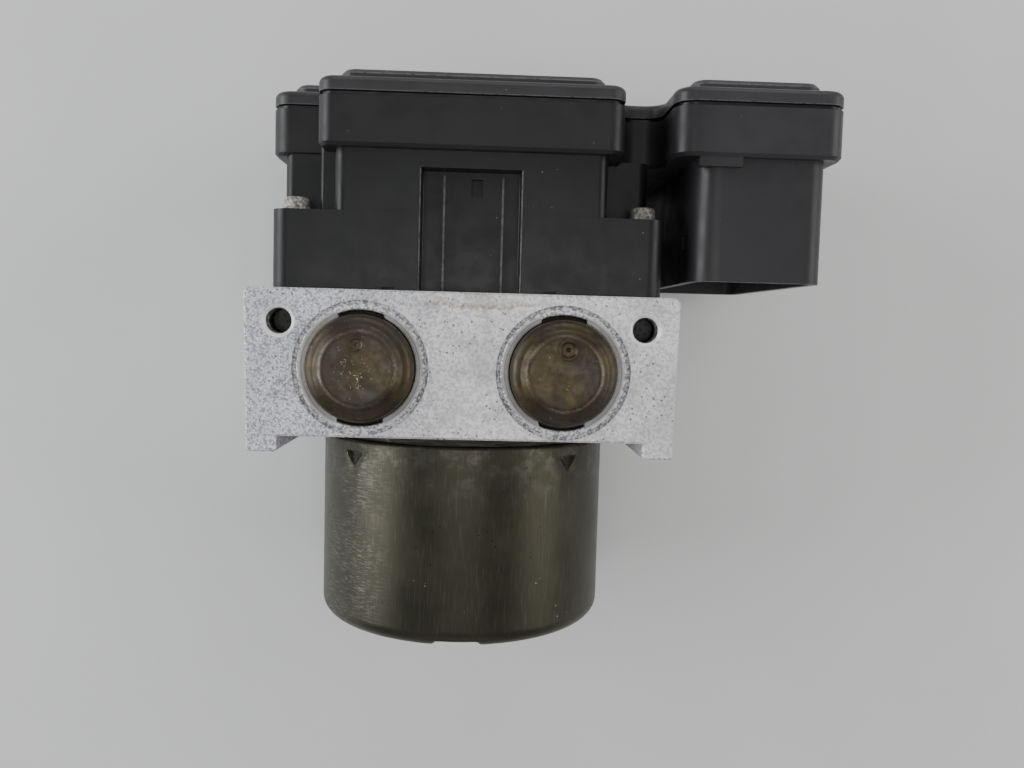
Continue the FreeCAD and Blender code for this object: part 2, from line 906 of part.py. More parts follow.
def pump_plug(side):
    cylinder_end, plug_end = pump_levels()[1:]
    radius = pump_bore_radius - seat_gap
    plug = cyl_x(radius, side * (cylinder_end + seat_gap), side * plug_end, pump_offset, motor_axis_height)
    socket = hexagon_y(pump_plug_socket, 0, 0, 0, pump_plug_socket_depth + 1)
    socket.rotate(Vec(0, 0, 0), Z_AXIS, -90)
    inner = plug_end - pump_plug_socket_depth
    if side < 0:
        socket.rotate(Vec(0, 0, 0), Z_AXIS, 180)
    socket.translate(Vec(side * inner, pump_offset, motor_axis_height))
    room_end = cylinder_end + pump_valve_depth
    room = cyl_x(pump_valve_radius, side * cylinder_end, side * room_end, pump_offset, motor_axis_height)
    return plug.cut([socket, room])


def pump_cylinder(side):
    shoulder, cylinder_end = pump_levels()[:2]
    radius = pump_bore_radius - seat_gap
    y, z = pump_offset, motor_axis_height
    sleeve = cyl_x(radius, side * (shoulder + seat_gap), side * cylinder_end, y, z)
    bore_end = cylinder_end - pump_cylinder_end
    bore = cyl_x(pump_piston_radius + running_gap, side * (shoulder - 1), side * bore_end, y, z)
    outlet = cyl_x(pump_outlet_radius, side * bore_end, side * (cylinder_end + 1), y, z)
    return sleeve.cut([bore, outlet])


def pump_piston(side):
    rest = sweep_radius + piston_clearance
    steps = [
        (0, rest),
        (pump_piston_radius - pump_piston_nose, rest),
        (pump_piston_radius, rest + pump_piston_nose),
        (pump_piston_radius, rest + pump_piston_length),
        (0, rest + pump_piston_length),
    ]
    return turned(steps, Vec(0, pump_offset, motor_axis_height), X_AXIS * side)


def pump_spring(side):
    start = sweep_radius + piston_clearance + pump_piston_length + free_gap / 2
    end = pump_levels()[1] - pump_cylinder_end - free_gap / 2
    first = Vec(start, pump_offset, motor_axis_height)
    last = Vec(end, pump_offset, motor_axis_height)
    spring = coil_spring(pump_spring_radius, pump_spring_wire, pump_spring_turns, first, last, X_AXIS)
    if side < 0:
        spring = spring.mirror(Vec(0, 0, 0), X_AXIS)
    return upright(spring)


# Solenoid valves
def valve_body(x, z):
    """A cartridge with its dome: the dome's bore guides the plunger."""
    body_radius = valve_bore_radius - seat_gap
    foot = seat_gap - valve_bore_depth
    bore = dome_radius - dome_wall
    steps = [
        (valve_duct_radius, foot),
        (body_radius, foot),
        (body_radius, -valve_collar_depth + seat_gap),
        (valve_collar_radius, -valve_collar_depth + seat_gap),
        (valve_collar_radius, 0),
        (dome_radius, 0),
        (dome_radius, dome_length - dome_wall),
        (dome_radius - dome_wall, dome_length),
        (0, dome_length),
        (0, dome_length - 2 * dome_wall),
        (bore, dome_length - 2 * dome_wall),
        (bore, 0),
        (valve_duct_radius, 0),
    ]
    return turned(steps, Vec(x, unit_face, z), Y_AXIS)


def valve_plunger(x, z, open_at_rest):
    """The plunger rests against the dome's end when open, and one stroke lower when closed."""
    radius = dome_radius - dome_wall - loose_gap
    lift = seat_gap + plunger_travel if open_at_rest else seat_gap
    length = dome_length - 2 * dome_wall - plunger_travel - 2 * seat_gap
    top = lift + length
    steps = [
        (0, lift - plunger_nose_length),
        (plunger_nose_radius, lift - plunger_nose_length),
        (plunger_nose_radius, lift),
        (radius, lift),
        (radius, top),
        (0, top),
    ]
    return turned(steps, Vec(x, unit_face, z), Y_AXIS)


def valve_coils():
    coils = []
    outer = yoke_radius - yoke_wall - seat_gap
    inner = dome_radius + free_gap
    wound = outer - coil_winding_inset
    low = coil_rise + yoke_wall + seat_gap
    high = coil_rise + yoke_length - yoke_wall - seat_gap
    for x, z in valve_places():
        steps = [
            (inner, low),
            (outer, low),
            (outer, low + coil_flange),
            (wound, low + coil_flange),
            (wound, high - coil_flange),
            (outer, high - coil_flange),
            (outer, high),
            (inner, high),
        ]
        coils.append(turned(steps, Vec(x, unit_face, z), Y_AXIS))
    return Part.makeCompound(coils)


def coil_yokes():
    yokes = []
    inner = dome_radius + free_gap
    low = coil_rise
    high = coil_rise + yoke_length
    for x, z in valve_places():
        steps = [
            (inner, low),
            (yoke_radius, low),
            (yoke_radius, high),
            (yoke_radius - yoke_wall, high),
            (yoke_radius - yoke_wall, low + yoke_wall),
            (inner, low + yoke_wall),
        ]
        yokes.append(turned(steps, Vec(x, unit_face, z), Y_AXIS))
    return Part.makeCompound(yokes)


def lead_places():
    places = []
    for x, z in valve_places():
        places.append((x - lead_spacing / 2, z))
        places.append((x + lead_spacing / 2, z))
    return places


def square_pin(x, z, low, high, width):
    half = width / 2
    return box(x - half, x + half, low, high, z - half, z + half)


def coil_leads():
    low = unit_face + coil_rise + yoke_length - yoke_wall
    high = board_top + pin_tail
    return Part.makeCompound([square_pin(x, z, low, high, lead_width) for x, z in lead_places()])


# Control unit housing
def flange_outline():
    low = unit_height_axis - flange_half_depth
    high = unit_height_axis + flange_half_depth
    points = [
        (flange_left, low),
        (flange_right, low),
        (flange_right, high),
        (recess_right, high),
        (recess_right, high - recess_depth),
        (recess_left, high - recess_depth),
        (recess_left, high),
        (flange_left, high),
    ]
    small = ridge_width
    radii = [flange_corner, flange_corner, flange_corner, small, small, small, small, flange_corner]
    return points, radii


def body_outline(with_recess):
    middle = unit_height_axis
    front = middle + body_half_depth
    floor = middle + flange_half_depth - recess_depth
    points = [
        (lobe_left, middle - lobe_half_depth),
        (lobe_step, middle - lobe_half_depth),
        (lobe_step, middle - lobe_step_half_depth),
        (body_left, middle - lobe_step_half_depth),
        (body_left, middle - body_half_depth),
        (body_right, middle - body_half_depth),
        (body_right, middle - lobe_right_half_depth),
        (lobe_right, middle - lobe_right_half_depth),
        (lobe_right, middle + lobe_right_half_depth),
        (body_right, middle + lobe_right_half_depth),
        (body_right, front),
    ]
    big, small = body_corner, body_step_radius
    radii = [big, small, small, small, big, big, small, big, big, small, big]
    if with_recess:
        points += [(recess_right, front), (recess_right, floor), (recess_left, floor), (recess_left, front)]
        radii += [ridge_width] * 4
    points += [
        (body_left, front),
        (body_left, middle + lobe_step_half_depth),
        (lobe_step, middle + lobe_step_half_depth),
        (lobe_step, middle + lobe_half_depth),
        (lobe_left, middle + lobe_half_depth),
    ]
    radii += [big, small, small, small, big]
    return points, radii


def collar_outline():
    middle = unit_height_axis
    points = [
        (collar_lobe_left, middle - collar_lobe_half_depth),
        (collar_left, middle - collar_lobe_half_depth),
        (collar_left, middle - collar_half_depth),
        (collar_right, middle - collar_half_depth),
        (collar_right, middle - neck_half_depth),
        (connector_left, middle - neck_half_depth),
        (connector_left, connector_back),
        (connector_right, connector_back),
        (connector_right, connector_front),
        (connector_left, connector_front),
        (connector_left, middle + neck_half_depth),
        (collar_right, middle + neck_half_depth),
        (collar_right, middle + collar_half_depth),
        (collar_left, middle + collar_half_depth),
        (collar_left, middle + collar_lobe_half_depth),
        (collar_lobe_left, middle + collar_lobe_half_depth),
    ]
    radii = [
        collar_lobe_corner, inner_corner, collar_corner, collar_corner, neck_corner, neck_corner,
        connector_corner_left, connector_corner_right, connector_corner_right, connector_corner_left,
        neck_corner, neck_corner, collar_corner, collar_corner, inner_corner, collar_lobe_corner,
    ]
    return points, radii


def shroud_outline():
    points, radii = rectangle(shroud_left, shroud_right, shroud_back, shroud_front, shroud_corner_right)
    radii[0] = shroud_corner_left
    radii[3] = shroud_corner_left
    return points, radii


def carrier_outline(extra):
    middle = (shroud_back + shroud_front) / 2
    half_x = carrier_width / 2 + extra
    half_z = carrier_length / 2 + extra
    return rectangle(
        shroud_middle - half_x, shroud_middle + half_x, middle - half_z, middle + half_z, carrier_corner
    )


def board_post_places():
    middle = unit_height_axis
    reach_x = housing_wall + board_post_edge
    reach_z = collar_half_depth - housing_wall - 2 * board_post_radius
    places = [(collar_lobe_left + reach_x, middle + board_post_split)]
    places.append((collar_lobe_left + reach_x, middle - board_post_split))
    for x in (collar_left + reach_x, collar_right - reach_x):
        places.append((x, middle - reach_z))
        places.append((x, middle + reach_z))
    edge = housing_wall + board_post_radius + free_gap
    for z in (connector_back + edge, connector_front - edge):
        places.append((connector_left + edge, z))
        places.append((connector_right - edge, z))
    return places


def housing_shell():
    """The moulding's outer form with the rooms for board, coils, plug and pin carrier cut out."""
    flange = plate_y(flange_outline(), unit_face, flange_top)
    recess_top = unit_face + recess_height
    body = plate_y(body_outline(True), flange_top - 1, recess_top)
    upper_body = plate_y(body_outline(False), recess_top, collar_foot + 1)
    collar = plate_y(collar_outline(), collar_foot, collar_top)
    collar = collar.makeChamfer(collar_foot_chamfer, level_edges(collar, 1, collar_foot))
    shroud = plate_y(shroud_outline(), shroud_mouth_level, collar_foot + 1)
    tab = box(
        shroud_left, shroud_left + tab_width, collar_foot - tab_height, collar_foot + 1,
        shroud_front - 1, shroud_front + tab_reach,
    )
    outer = flange.fuse([body, upper_body, collar, shroud, tab])
    board_room = plate_y(inset(collar_outline(), housing_wall), collar_floor, collar_top + 1)
    flange_inset = housing_wall + ridge_width
    flange_room = plate_y(inset(flange_outline(), flange_inset), unit_face - 1, flange_top - housing_wall)
    body_room = plate_y(inset(body_outline(True), housing_wall), unit_face, collar_foot)
    socket = plate_y(inset(shroud_outline(), shroud_wall), shroud_mouth_level - 1, shroud_floor_level)
    window = plate_y(carrier_outline(0), shroud_floor_level - 1, collar_floor + 1)
    ledge = plate_y(carrier_outline(carrier_ledge), collar_floor - carrier_flange, collar_floor + 1)
    return outer.cut([board_room, flange_room, body_room, socket, window, ledge])


def housing_ribs():
    """Screw columns, board posts, keys of the socket and ridges of the recess."""
    ribs = []
    flange = plate_y(flange_outline(), unit_face, flange_top)
    for x, z in unit_screw_places():
        ribs.append(cyl_y(screw_column_radius, unit_face, flange_top, x, z).common(flange))
    for x, z in board_post_places():
        ribs.append(cyl_y(board_post_radius, collar_floor - 1, board_foot, x, z))
    inner = shroud_right - shroud_wall
    low, high = shroud_mouth_level + key_rib_start, shroud_floor_level + 1
    half = key_rib_width / 2
    for z in (shroud_back + key_rib_back, shroud_front - key_rib_front):
        ribs.append(box(inner - key_rib_height, inner + 1, low, high, z - half, z + half))
    floor = unit_height_axis + flange_half_depth - recess_depth
    top = unit_face + recess_height - 1
    for x in (recess_ridge_left, recess_ridge_right):
        ribs.append(box(x, x + ridge_width, unit_face, top, floor - 1, floor + ridge_height))
    return ribs


def control_unit_housing():
    shell = housing_shell().fuse(housing_ribs())
    recess_top = unit_face + recess_height
    floor = unit_height_axis + flange_half_depth - recess_depth
    cuts = []
    for x, z in unit_screw_places():
        cuts.append(cyl_y(unit_screw_radius + seat_gap, unit_face - 1, flange_top + 1, x, z))
    gasket_outer = plate_y(inset(flange_outline(), gasket_inset), unit_face - 1, unit_face + gasket_depth)
    gasket_inner = plate_y(inset(flange_outline(), gasket_inset + gasket_width), unit_face - 2, unit_face + 3)
    cuts.append(gasket_outer.cut(gasket_inner))
    front = unit_height_axis + flange_half_depth
    half = notch_width / 2
    notch_top = unit_face + notch_height
    for x in (notch_left, notch_right):
        cuts.append(box(x - half, x + half, unit_face - 1, notch_top, front - notch_depth, front + 1))
    cuts.append(
        box(
            slot_left, slot_left + slot_width, recess_top - slot_drop - slot_height, recess_top - slot_drop,
            floor - slot_depth, floor + 1,
        )
    )
    latch_low = unit_face + latch_height
    latch_high = shroud_front - latch_from_front
    cuts.append(
        box(
            shroud_left - 1, shroud_left + shroud_wall + 1, latch_low, latch_low + latch_width,
            latch_high - latch_length, latch_high,
        )
    )
    foot, top = collar_foot - 1, collar_floor + 1
    reach = lead_spacing / 2 + lead_width
    for x, z in valve_places():
        cuts.append(box(x - reach, x + reach, foot, top, z - lead_width, z + lead_width))
    reach = contact_spacing / 2 + contact_width
    cuts.append(box(-reach, reach, foot, top, tower_height - contact_width, tower_height + contact_width))
    return shell.cut(cuts).removeSplitter()


def control_unit_gasket():
    high = unit_face + gasket_depth - seat_gap
    outer = plate_y(inset(flange_outline(), gasket_inset + seat_gap), unit_face, high)
    inner = plate_y(inset(flange_outline(), gasket_inset + gasket_width - seat_gap), unit_face - 1, high + 1)
    return outer.cut(inner)


def plateau_outlines():
    """The raised fields of the cover: over the board, and over the connector."""
    middle = unit_height_axis
    gap = plateau_inset
    lobe_depth = collar_lobe_half_depth - gap
    depth = collar_half_depth - gap
    left = collar_left + gap
    points = [
        (collar_lobe_left + gap, middle - lobe_depth),
        (left, middle - lobe_depth),
        (left, middle - depth),
        (collar_right - gap, middle - depth),
        (collar_right - gap, middle + depth),
        (left, middle + depth),
        (left, middle + lobe_depth),
        (collar_lobe_left + gap, middle + lobe_depth),
    ]
    main = points, [plateau_corner] * len(points)
    left, right = connector_left + gap, connector_right - gap
    over_connector = rectangle(left, right, connector_back + gap, connector_front - gap, plateau_corner)
    return main, over_connector


def control_unit_cover():
    foot = plate_y(inset(collar_outline(), parting_inset), collar_top, cover_foot + 1)
    rim = plate_y(collar_outline(), cover_foot, cover_rim_top)
    rim = rim.makeFillet(cover_edge_radius, level_edges(rim, 1, cover_rim_top))
    pieces = [rim]
    rooms = []
    for outline in plateau_outlines():
        plateau = plate_y(outline, cover_rim_top - 1, plateau_top)
        pieces.append(plateau.makeChamfer(plateau_chamfer, level_edges(plateau, 1, plateau_top)))
        rooms.append(plate_y(inset(outline, cover_wall), cover_foot, plateau_top - cover_wall))
    tongue_inset = housing_wall + 2 * seat_gap
    tongue = plate_y(inset(collar_outline(), tongue_inset), collar_top - cover_tongue_depth, collar_top + 1)
    room_inset = tongue_inset + cover_tongue
    room_foot = collar_top - 2 * cover_tongue_depth
    room = plate_y(inset(collar_outline(), room_inset), room_foot, cover_rim_top - cover_wall)
    shell = foot.fuse(pieces + [tongue])
    return shell.cut([room] + rooms).removeSplitter()


def screw(x, z, foot, seat, radius, head_radius, head_height, half_drive, depth):
    """A screw along Y: shank from foot to seat, head above the seat, with its drive recess."""
    steps = [
        (0, foot - seat),
        (radius - screw_edge, foot - seat),
        (radius, foot - seat + screw_edge),
        (radius, 0),
        (head_radius, 0),
        (head_radius, head_height - screw_edge),
        (head_radius - screw_edge, head_height),
        (0, head_height),
    ]
    body = turned(steps, Vec(x, seat, z), Y_AXIS)
    drive = hexagon_y(half_drive, x, z, seat + head_height - depth, seat + head_height + 1)
    return body.cut(drive)


def control_unit_screws():
    screws = []
    for x, z in unit_screw_places():
        screws.append(
            screw(
                x, z, unit_face - unit_screw_depth, flange_top, unit_screw_radius,
                unit_screw_head_radius, unit_screw_head_height, drive_half_width, drive_depth,
            )
        )
    return Part.makeCompound(screws)


# Connector, circuit board and what is on it
def pin_places():
    places = []
    for row in range(pin_rows):
        x = shroud_middle + (row - (pin_rows - 1) / 2) * pin_row_pitch
        for column in range(pin_columns):
            places.append((x, shroud_back + pin_field_start + column * pin_pitch))
    return places


def blade_centres():
    centres = []
    for z in (shroud_back + blade_start, shroud_back + blade_start + blade_pitch):
        centres.append((shroud_middle - blade_row_pitch / 2, z))
        centres.append((shroud_middle + blade_row_pitch / 2, z))
    return centres


def tapered_pin(x, z, low, high, width, thickness):
    """A flat contact along Y with a tapered tip at its lower end."""
    half = width / 2
    tip = half / 2
    shoulder = low + pin_taper
    steps = [(-tip, low), (tip, low), (half, shoulder), (half, high), (-half, high), (-half, shoulder)]
    face = path_face(steps, lambda a, b: Vec(x + a, b, z - thickness / 2))
    return upright(face.extrude(Vec(0, 0, thickness)))


def connector_pin_carrier():
    plug = plate_y(inset(carrier_outline(0), seat_gap), shroud_floor_level, collar_floor)
    foot = collar_floor - carrier_flange + seat_gap
    flange = plate_y(inset(carrier_outline(carrier_ledge), seat_gap), foot, collar_floor)
    cuts = []
    low, high = shroud_floor_level - 1, collar_floor + 1
    for x, z in pin_places():
        cuts.append(square_pin(x, z, low, high, pin_width + 2 * seat_gap))
    for x, z in blade_centres():
        half = blade_width / 2 + seat_gap
        side = blade_thickness / 2 + seat_gap
        cuts.append(box(x - half, x + half, low, high, z - side, z + side))
    return plug.fuse(flange).removeSplitter().cut(cuts)


def connector_pins():
    low = shroud_floor_level - pin_reach
    high = board_top + pin_tail
    return Part.makeCompound([tapered_pin(x, z, low, high, pin_width, pin_width) for x, z in pin_places()])


def power_blades():
    low = shroud_floor_level - pin_reach
    high = board_top + pin_tail
    blades = [tapered_pin(x, z, low, high, blade_width, blade_thickness) for x, z in blade_centres()]
    return Part.makeCompound(blades)


def circuit_board():
    board = plate_y(inset(collar_outline(), housing_wall + board_gap), board_foot, board_top)
    cuts = []
    low, high = board_foot - 1, board_top + 1
    for x, z in pin_places():
        cuts.append(square_pin(x, z, low, high, pin_width + 2 * seat_gap))
    for x, z in lead_places():
        cuts.append(square_pin(x, z, low, high, lead_width + 2 * seat_gap))
    for x, z in blade_centres():
        half = blade_width / 2 + seat_gap
        side = blade_thickness / 2 + seat_gap
        cuts.append(box(x - half, x + half, low, high, z - side, z + side))
    for x in (-contact_spacing / 2, contact_spacing / 2):
        half = contact_width / 2 + seat_gap
        side = contact_thickness / 2 + seat_gap
        cuts.append(box(x - half, x + half, low, high, tower_height - side, tower_height + side))
    return board.cut(cuts)


def processor_chip():
    z = unit_height_axis + processor_rise
    half = processor_size / 2
    outline = rectangle(-half, half, z - half, z + half, processor_corner)
    return plate_y(outline, board_top, board_top + processor_height)


def driver_chips():
    chips = []
    half_x = driver_width / 2
    half_z = driver_length / 2
    for x in (-driver_column, driver_column):
        for z in (unit_height_axis - driver_row, unit_height_axis + driver_row):
            outline = rectangle(x - half_x, x + half_x, z - half_z, z + half_z, driver_corner)
            chips.append(plate_y(outline, board_top, board_top + driver_height))
    return Part.makeCompound(chips)


def board_capacitors():
    cans = []
    end = capacitor_length / 2
    level = board_top + capacitor_radius
    bead_end = end - capacitor_bead_start
    bead_foot = bead_end - capacitor_bead_width
    middle = unit_height_axis - capacitor_drop
    for z in (middle - capacitor_pitch / 2, middle + capacitor_pitch / 2):
        can = cyl_x(capacitor_radius, -end, end, level, z)
        bead = cyl_x(capacitor_radius + 1, bead_foot, bead_end, level, z)
        core = cyl_x(capacitor_radius - capacitor_bead_depth, bead_foot - 1, bead_end + 1, level, z)
        cans.append(can.cut(bead.cut(core)))
    return Part.makeCompound(cans)


def board_choke():
    edge = choke_edge
    steps = [
        (0, 0),
        (choke_radius, 0),
        (choke_radius, edge),
        (choke_radius - edge, 2 * edge),
        (choke_radius - edge, choke_height - 2 * edge),
        (choke_radius, choke_height - edge),
        (choke_radius, choke_height),
        (0, choke_height),
    ]
    return turned(steps, Vec(choke_column, board_top, unit_height_axis), Y_AXIS)


# Motor, placed from the block's motor face with distances growing away from it
def motor_turned(steps, sweep=360.0, start_angle=0.0):
    flipped = []
    for step in steps:
        flipped.append(tuple(value if index % 2 == 0 else -value for index, value in enumerate(step)))
    return turned(flipped, Vec(0, motor_face, motor_axis_height), Y_AXIS, sweep, start_angle)


def about_motor(shape, angle):
    """The shape turned about the motor's axis; zero degrees is up."""
    shape.rotate(Vec(0, motor_face, motor_axis_height), Y_AXIS, angle)
    return shape


def motor_tube(outer, inner, start, end):
    axis_z = motor_axis_height
    ring = cyl_y(outer, motor_face - start, motor_face - end, 0, axis_z)
    return ring.cut(cyl_y(inner, motor_face - start + 1, motor_face - end - 1, 0, axis_z))


def stake_prism(foot_radius, top_radius, tilt):
    """A triangular prism at the top of the motor, flat edge towards the block."""
    start = motor_face - stake_start
    half = stake_width / 2
    foot = motor_axis_height + foot_radius
    corners = [Vec(-half, start, foot), Vec(half, start, foot), Vec(0, start - stake_length, foot)]
    face = Part.Face(Part.makePolygon(corners + [corners[0]]))
    prism = upright(face.extrude(Vec(0, 0, top_radius - foot_radius)))
    prism.rotate(Vec(0, start, foot), X_AXIS, -tilt)
    return prism


def end_groove(angle):
    """A radial groove across the ring on the closed end of the can."""
    level = can_closed_end
    floor = level + end_groove_depth
    half_floor = end_groove_floor / 2
    half_top = end_groove_top / 2
    low = motor_axis_height + end_ring_inner - 1
    corners = [
        Vec(-half_floor, floor, low),
        Vec(half_floor, floor, low),
        Vec(half_top, level - 1, low),
        Vec(-half_top, level - 1, low),
    ]
    face = Part.Face(Part.makePolygon(corners + [corners[0]]))
    return about_motor(upright(face.extrude(Vec(0, 0, can_radius))), angle)


def motor_housing():
    start = plate_rim
    end = plate_rim + can_length
    inner_end = end - can_end_wall
    cup_inner = bearing_radius + seat_gap
    cup_outer = cup_inner + rear_cup_wall
    cup_end = inner_end + rear_cup_depth
    bend = can_corner * (1 - math.sqrt(0.5))
    inner_corner_radius = can_corner - can_wall
    inner_bend = inner_corner_radius * (1 - math.sqrt(0.5))
    inner_radius = can_inner_radius
    steps = [
        (can_inner_radius, start),
        (can_radius, start),
        (can_radius, end - can_corner),
        (can_radius - bend, end - bend, can_radius - can_corner, end),
        (end_ring_inner, end),
        (end_ring_inner - end_ring_step, end - end_ring_step),
        (cup_outer, end - end_ring_step),
        (cup_outer, cup_end + rear_cup_wall - rear_cup_edge),
        (cup_outer - rear_cup_edge, cup_end + rear_cup_wall),
        (0, cup_end + rear_cup_wall),
        (0, cup_end),
        (cup_inner, cup_end),
        (cup_inner, inner_end),
        (inner_radius - inner_corner_radius, inner_end),
        (inner_radius - inner_bend, inner_end - inner_bend, inner_radius, inner_end - inner_corner_radius),
    ]
    can = motor_turned(steps)
    cuts = [end_groove(angle) for angle in end_groove_angles]
    lugs = []
    tilt = math.degrees(math.atan2(stake_depth, stake_length))
    for angle in stake_angles:
        cuts.append(about_motor(stake_prism(can_radius - stake_depth, can_radius + stake_depth, tilt), angle))
    can = can.cut(cuts)
    lug_shift = stake_start - plate_rim - plate_spigot
    for angle in stake_angles:
        lug = stake_prism(can_inner_radius - stake_lug, can_inner_radius + can_wall / 3, 0)
        lug.translate(Vec(0, min(lug_shift, 0) - seat_gap, 0))
        lugs.append(about_motor(lug, angle))
    return merge(can, *lugs)


def motor_end_plate():
    rim = can_radius - plate_rim_inset
    spigot = can_inner_radius - seat_gap
    seat = bearing_radius + seat_gap
    groove_floor = spigot - motor_seal_section
    groove_end = motor_seal_start + motor_seal_width
    steps = [
        (plate_lip_radius, 0),
        (rim, 0),
        (rim, plate_rim),
        (spigot, plate_rim),
        (spigot, motor_seal_start),
        (groove_floor, motor_seal_start),
        (groove_floor, groove_end),
        (spigot, groove_end),
        (spigot, plate_rim + plate_spigot),
        (plate_hub_radius, plate_rim + plate_spigot),
        (plate_hub_radius, plate_hub_length),
        (seat, plate_hub_length),
        (seat, plate_lip_width),
        (plate_lip_radius, plate_lip_width),
    ]
    plate = motor_turned(steps)
    hub_end = motor_face - plate_hub_length
    cuts = [cyl_y(tower_radius + free_gap, motor_face + 1, hub_end - 1, 0, tower_height)]
    for x, z in motor_screw_places():
        cuts.append(cyl_y(motor_screw_radius + seat_gap, motor_face + 1, hub_end, x, z))
    return plate.cut(cuts)


def motor_seal_ring():
    outer = can_inner_radius - seat_gap
    inner = outer - motor_seal_section + seat_gap
    end = motor_seal_start + motor_seal_width - seat_gap
    return motor_tube(outer, inner, motor_seal_start + seat_gap, end)


def bearing(bore, start):
    """A shielded ball bearing: rings with sunk shields between them."""
    outer = bearing_radius
    end = start + bearing_width
    inner_ring = bore + bearing_ring
    outer_ring = outer - bearing_ring
    sink = bearing_shield_sink
    steps = [
        (bore, start),
        (inner_ring, start),
        (inner_ring, start + sink),
        (outer_ring, start + sink),
        (outer_ring, start),
        (outer, start),
        (outer, end),
        (outer_ring, end),
        (outer_ring, end - sink),
        (inner_ring, end - sink),
        (inner_ring, end),
        (bore, end),
    ]
    return motor_turned(steps)


def front_bearing_start():
    return plate_lip_width + seat_gap


def rear_bearing_start():
    return plate_rim + can_length - can_end_wall + rear_cup_depth - bearing_width - seat_gap


def pilot_bearing():
    chamber_end = motor_face + eccentric_chamber_depth
    low = chamber_end + free_gap
    high = chamber_end + pilot_bore_depth - free_gap
    ring = cyl_y(pilot_bore_radius - seat_gap, low, high, 0, motor_axis_height)
    bore = cyl_y(pilot_journal_radius + running_gap, low - 1, high + 1, 0, motor_axis_height)
    return ring.cut(bore)


def motor_shaft():
    rear_end = rear_bearing_start() + bearing_width - free_gap
    rear_step = rear_bearing_start() - free_gap
    front_step = front_bearing_start() - free_gap
    eccentric_end = -pump_offset + motor_face + eccentric_width / 2
    eccentric_start = eccentric_end - eccentric_width
    pilot_start = -eccentric_chamber_depth - free_gap + pilot_shoulder
    pilot_end = -eccentric_chamber_depth - pilot_bore_depth + 2 * free_gap
    steps = [
        (0, rear_end),
        (rear_journal_radius, rear_end),
        (rear_journal_radius, rear_step),
        (front_journal_radius, rear_step),
        (front_journal_radius, front_step),
        (drive_journal_radius, front_step),
        (drive_journal_radius, pilot_start),
        (pilot_journal_radius, pilot_start),
        (pilot_journal_radius, pilot_end),
        (0, pilot_end),
    ]
    shaft = motor_turned(steps)
    half = eccentric_width / 2
    height = motor_axis_height + eccentric_throw
    lobe = cyl_y(eccentric_radius, pump_offset - half, pump_offset + half, 0, height)
    return merge(shaft, lobe)


def eccentric_bearing():
    half = eccentric_width / 2
    height = motor_axis_height + eccentric_throw
    ring = cyl_y(eccentric_bearing_radius, pump_offset - half, pump_offset + half, 0, height)
    bore = cyl_y(eccentric_radius + running_gap, pump_offset - half - 1, pump_offset + half + 1, 0, height)
    return ring.cut(bore)


def motor_magnets():
    arcs = []
    outer = can_inner_radius - seat_gap
    end = magnet_start + magnet_length
    for quarter in range(4):
        steps = [(magnet_inner, magnet_start), (outer, magnet_start), (outer, end), (magnet_inner, end)]
        arcs.append(motor_turned(steps, magnet_sweep, 90 * quarter - magnet_sweep / 2))
    return Part.makeCompound(arcs)


def slot_points(gap):
    """Half outline of one winding slot, as (half width, radius) pairs, drawn in by gap."""
    bottom = slot_root_radius + gap
    top = core_radius - slot_lip - gap
    return bottom, slot_root_width / 2 - gap, top, slot_top_width / 2 - gap


def slot_prism(gap, low, high):
    bottom, half_bottom, top, half_top = slot_points(gap)
    base = motor_axis_height
    corners = [
        Vec(-half_bottom, low, base + bottom),
        Vec(half_bottom, low, base + bottom),
        Vec(half_top, low, base + top),
        Vec(-half_top, low, base + top),
    ]
    face = Part.Face(Part.makePolygon(corners + [corners[0]]))
    return upright(face.extrude(Vec(0, high - low, 0)))


def armature_core():
    core = motor_tube(core_radius, front_journal_radius + seat_gap, core_start, core_start + core_length)
    low = motor_face - core_start - core_length - 1
    high = motor_face - core_start + 1
    half = slot_mouth / 2
    base = motor_axis_height
    cuts = []
    for index in range(core_slots):
        angle = 360.0 * index / core_slots
        mouth = box(-half, half, low, high, base + core_radius - slot_lip - 1, base + core_radius + 1)
        cuts.append(about_motor(slot_prism(0, low, high), angle))
        cuts.append(about_motor(mouth, angle))
    return core.cut(cuts)


def armature_windings():
    """End turns at both ends of the core, joined by the bundles in its slots."""
    core_end = core_start + core_length
    rings = []
    for near, far in ((core_start, core_start - end_turn_length), (core_end, core_end + end_turn_length)):
        foot = near + (end_turn_gap if far > near else -end_turn_gap)
        steps = [
            (end_turn_inner, foot),
            (end_turn_outer, foot),
            (end_turn_outer + end_turn_bulge, (near + far) / 2, end_turn_outer - end_turn_round, far),
            (end_turn_inner + end_turn_round, far),
        ]
        rings.append(motor_turned(steps))
    low = motor_face - core_end - 1
    high = motor_face - core_start + 1
    for index in range(core_slots):
        rings.append(about_motor(slot_prism(winding_gap, low, high), 360.0 * index / core_slots))
    return merge(*rings)


def commutator():
    end = commutator_start + commutator_length
    drum = motor_tube(commutator_radius, front_journal_radius + seat_gap, commutator_start, end)
    low = motor_face - end - 1
    high = motor_face - commutator_start + 1
    half = commutator_groove / 2
    top = motor_axis_height + commutator_radius
    cuts = []
    for index in range(commutator_bars):
        groove = box(-half, half, low, high, top - commutator_groove_depth, top + 1)
        cuts.append(about_motor(groove, 360.0 * (index + 0.5) / commutator_bars))
    return drum.cut(cuts)


def brush_levels():
    """(middle of the brushes along the motor's axis, inner end, outer end of a brush)."""
    middle = holder_start + holder_thickness + brush_thickness / 2 + loose_gap
    return middle, commutator_radius + loose_gap, commutator_radius + brush_length


def brush_box(side, clearance, start, end):
    half_y = brush_thickness / 2 + clearance
    half_z = brush_width / 2 + clearance
    level = motor_face - brush_levels()[0]
    axis = motor_axis_height
    low, high = sorted((side * start, side * end))
    return box(low, high, level - half_y, level + half_y, axis - half_z, axis + half_z)


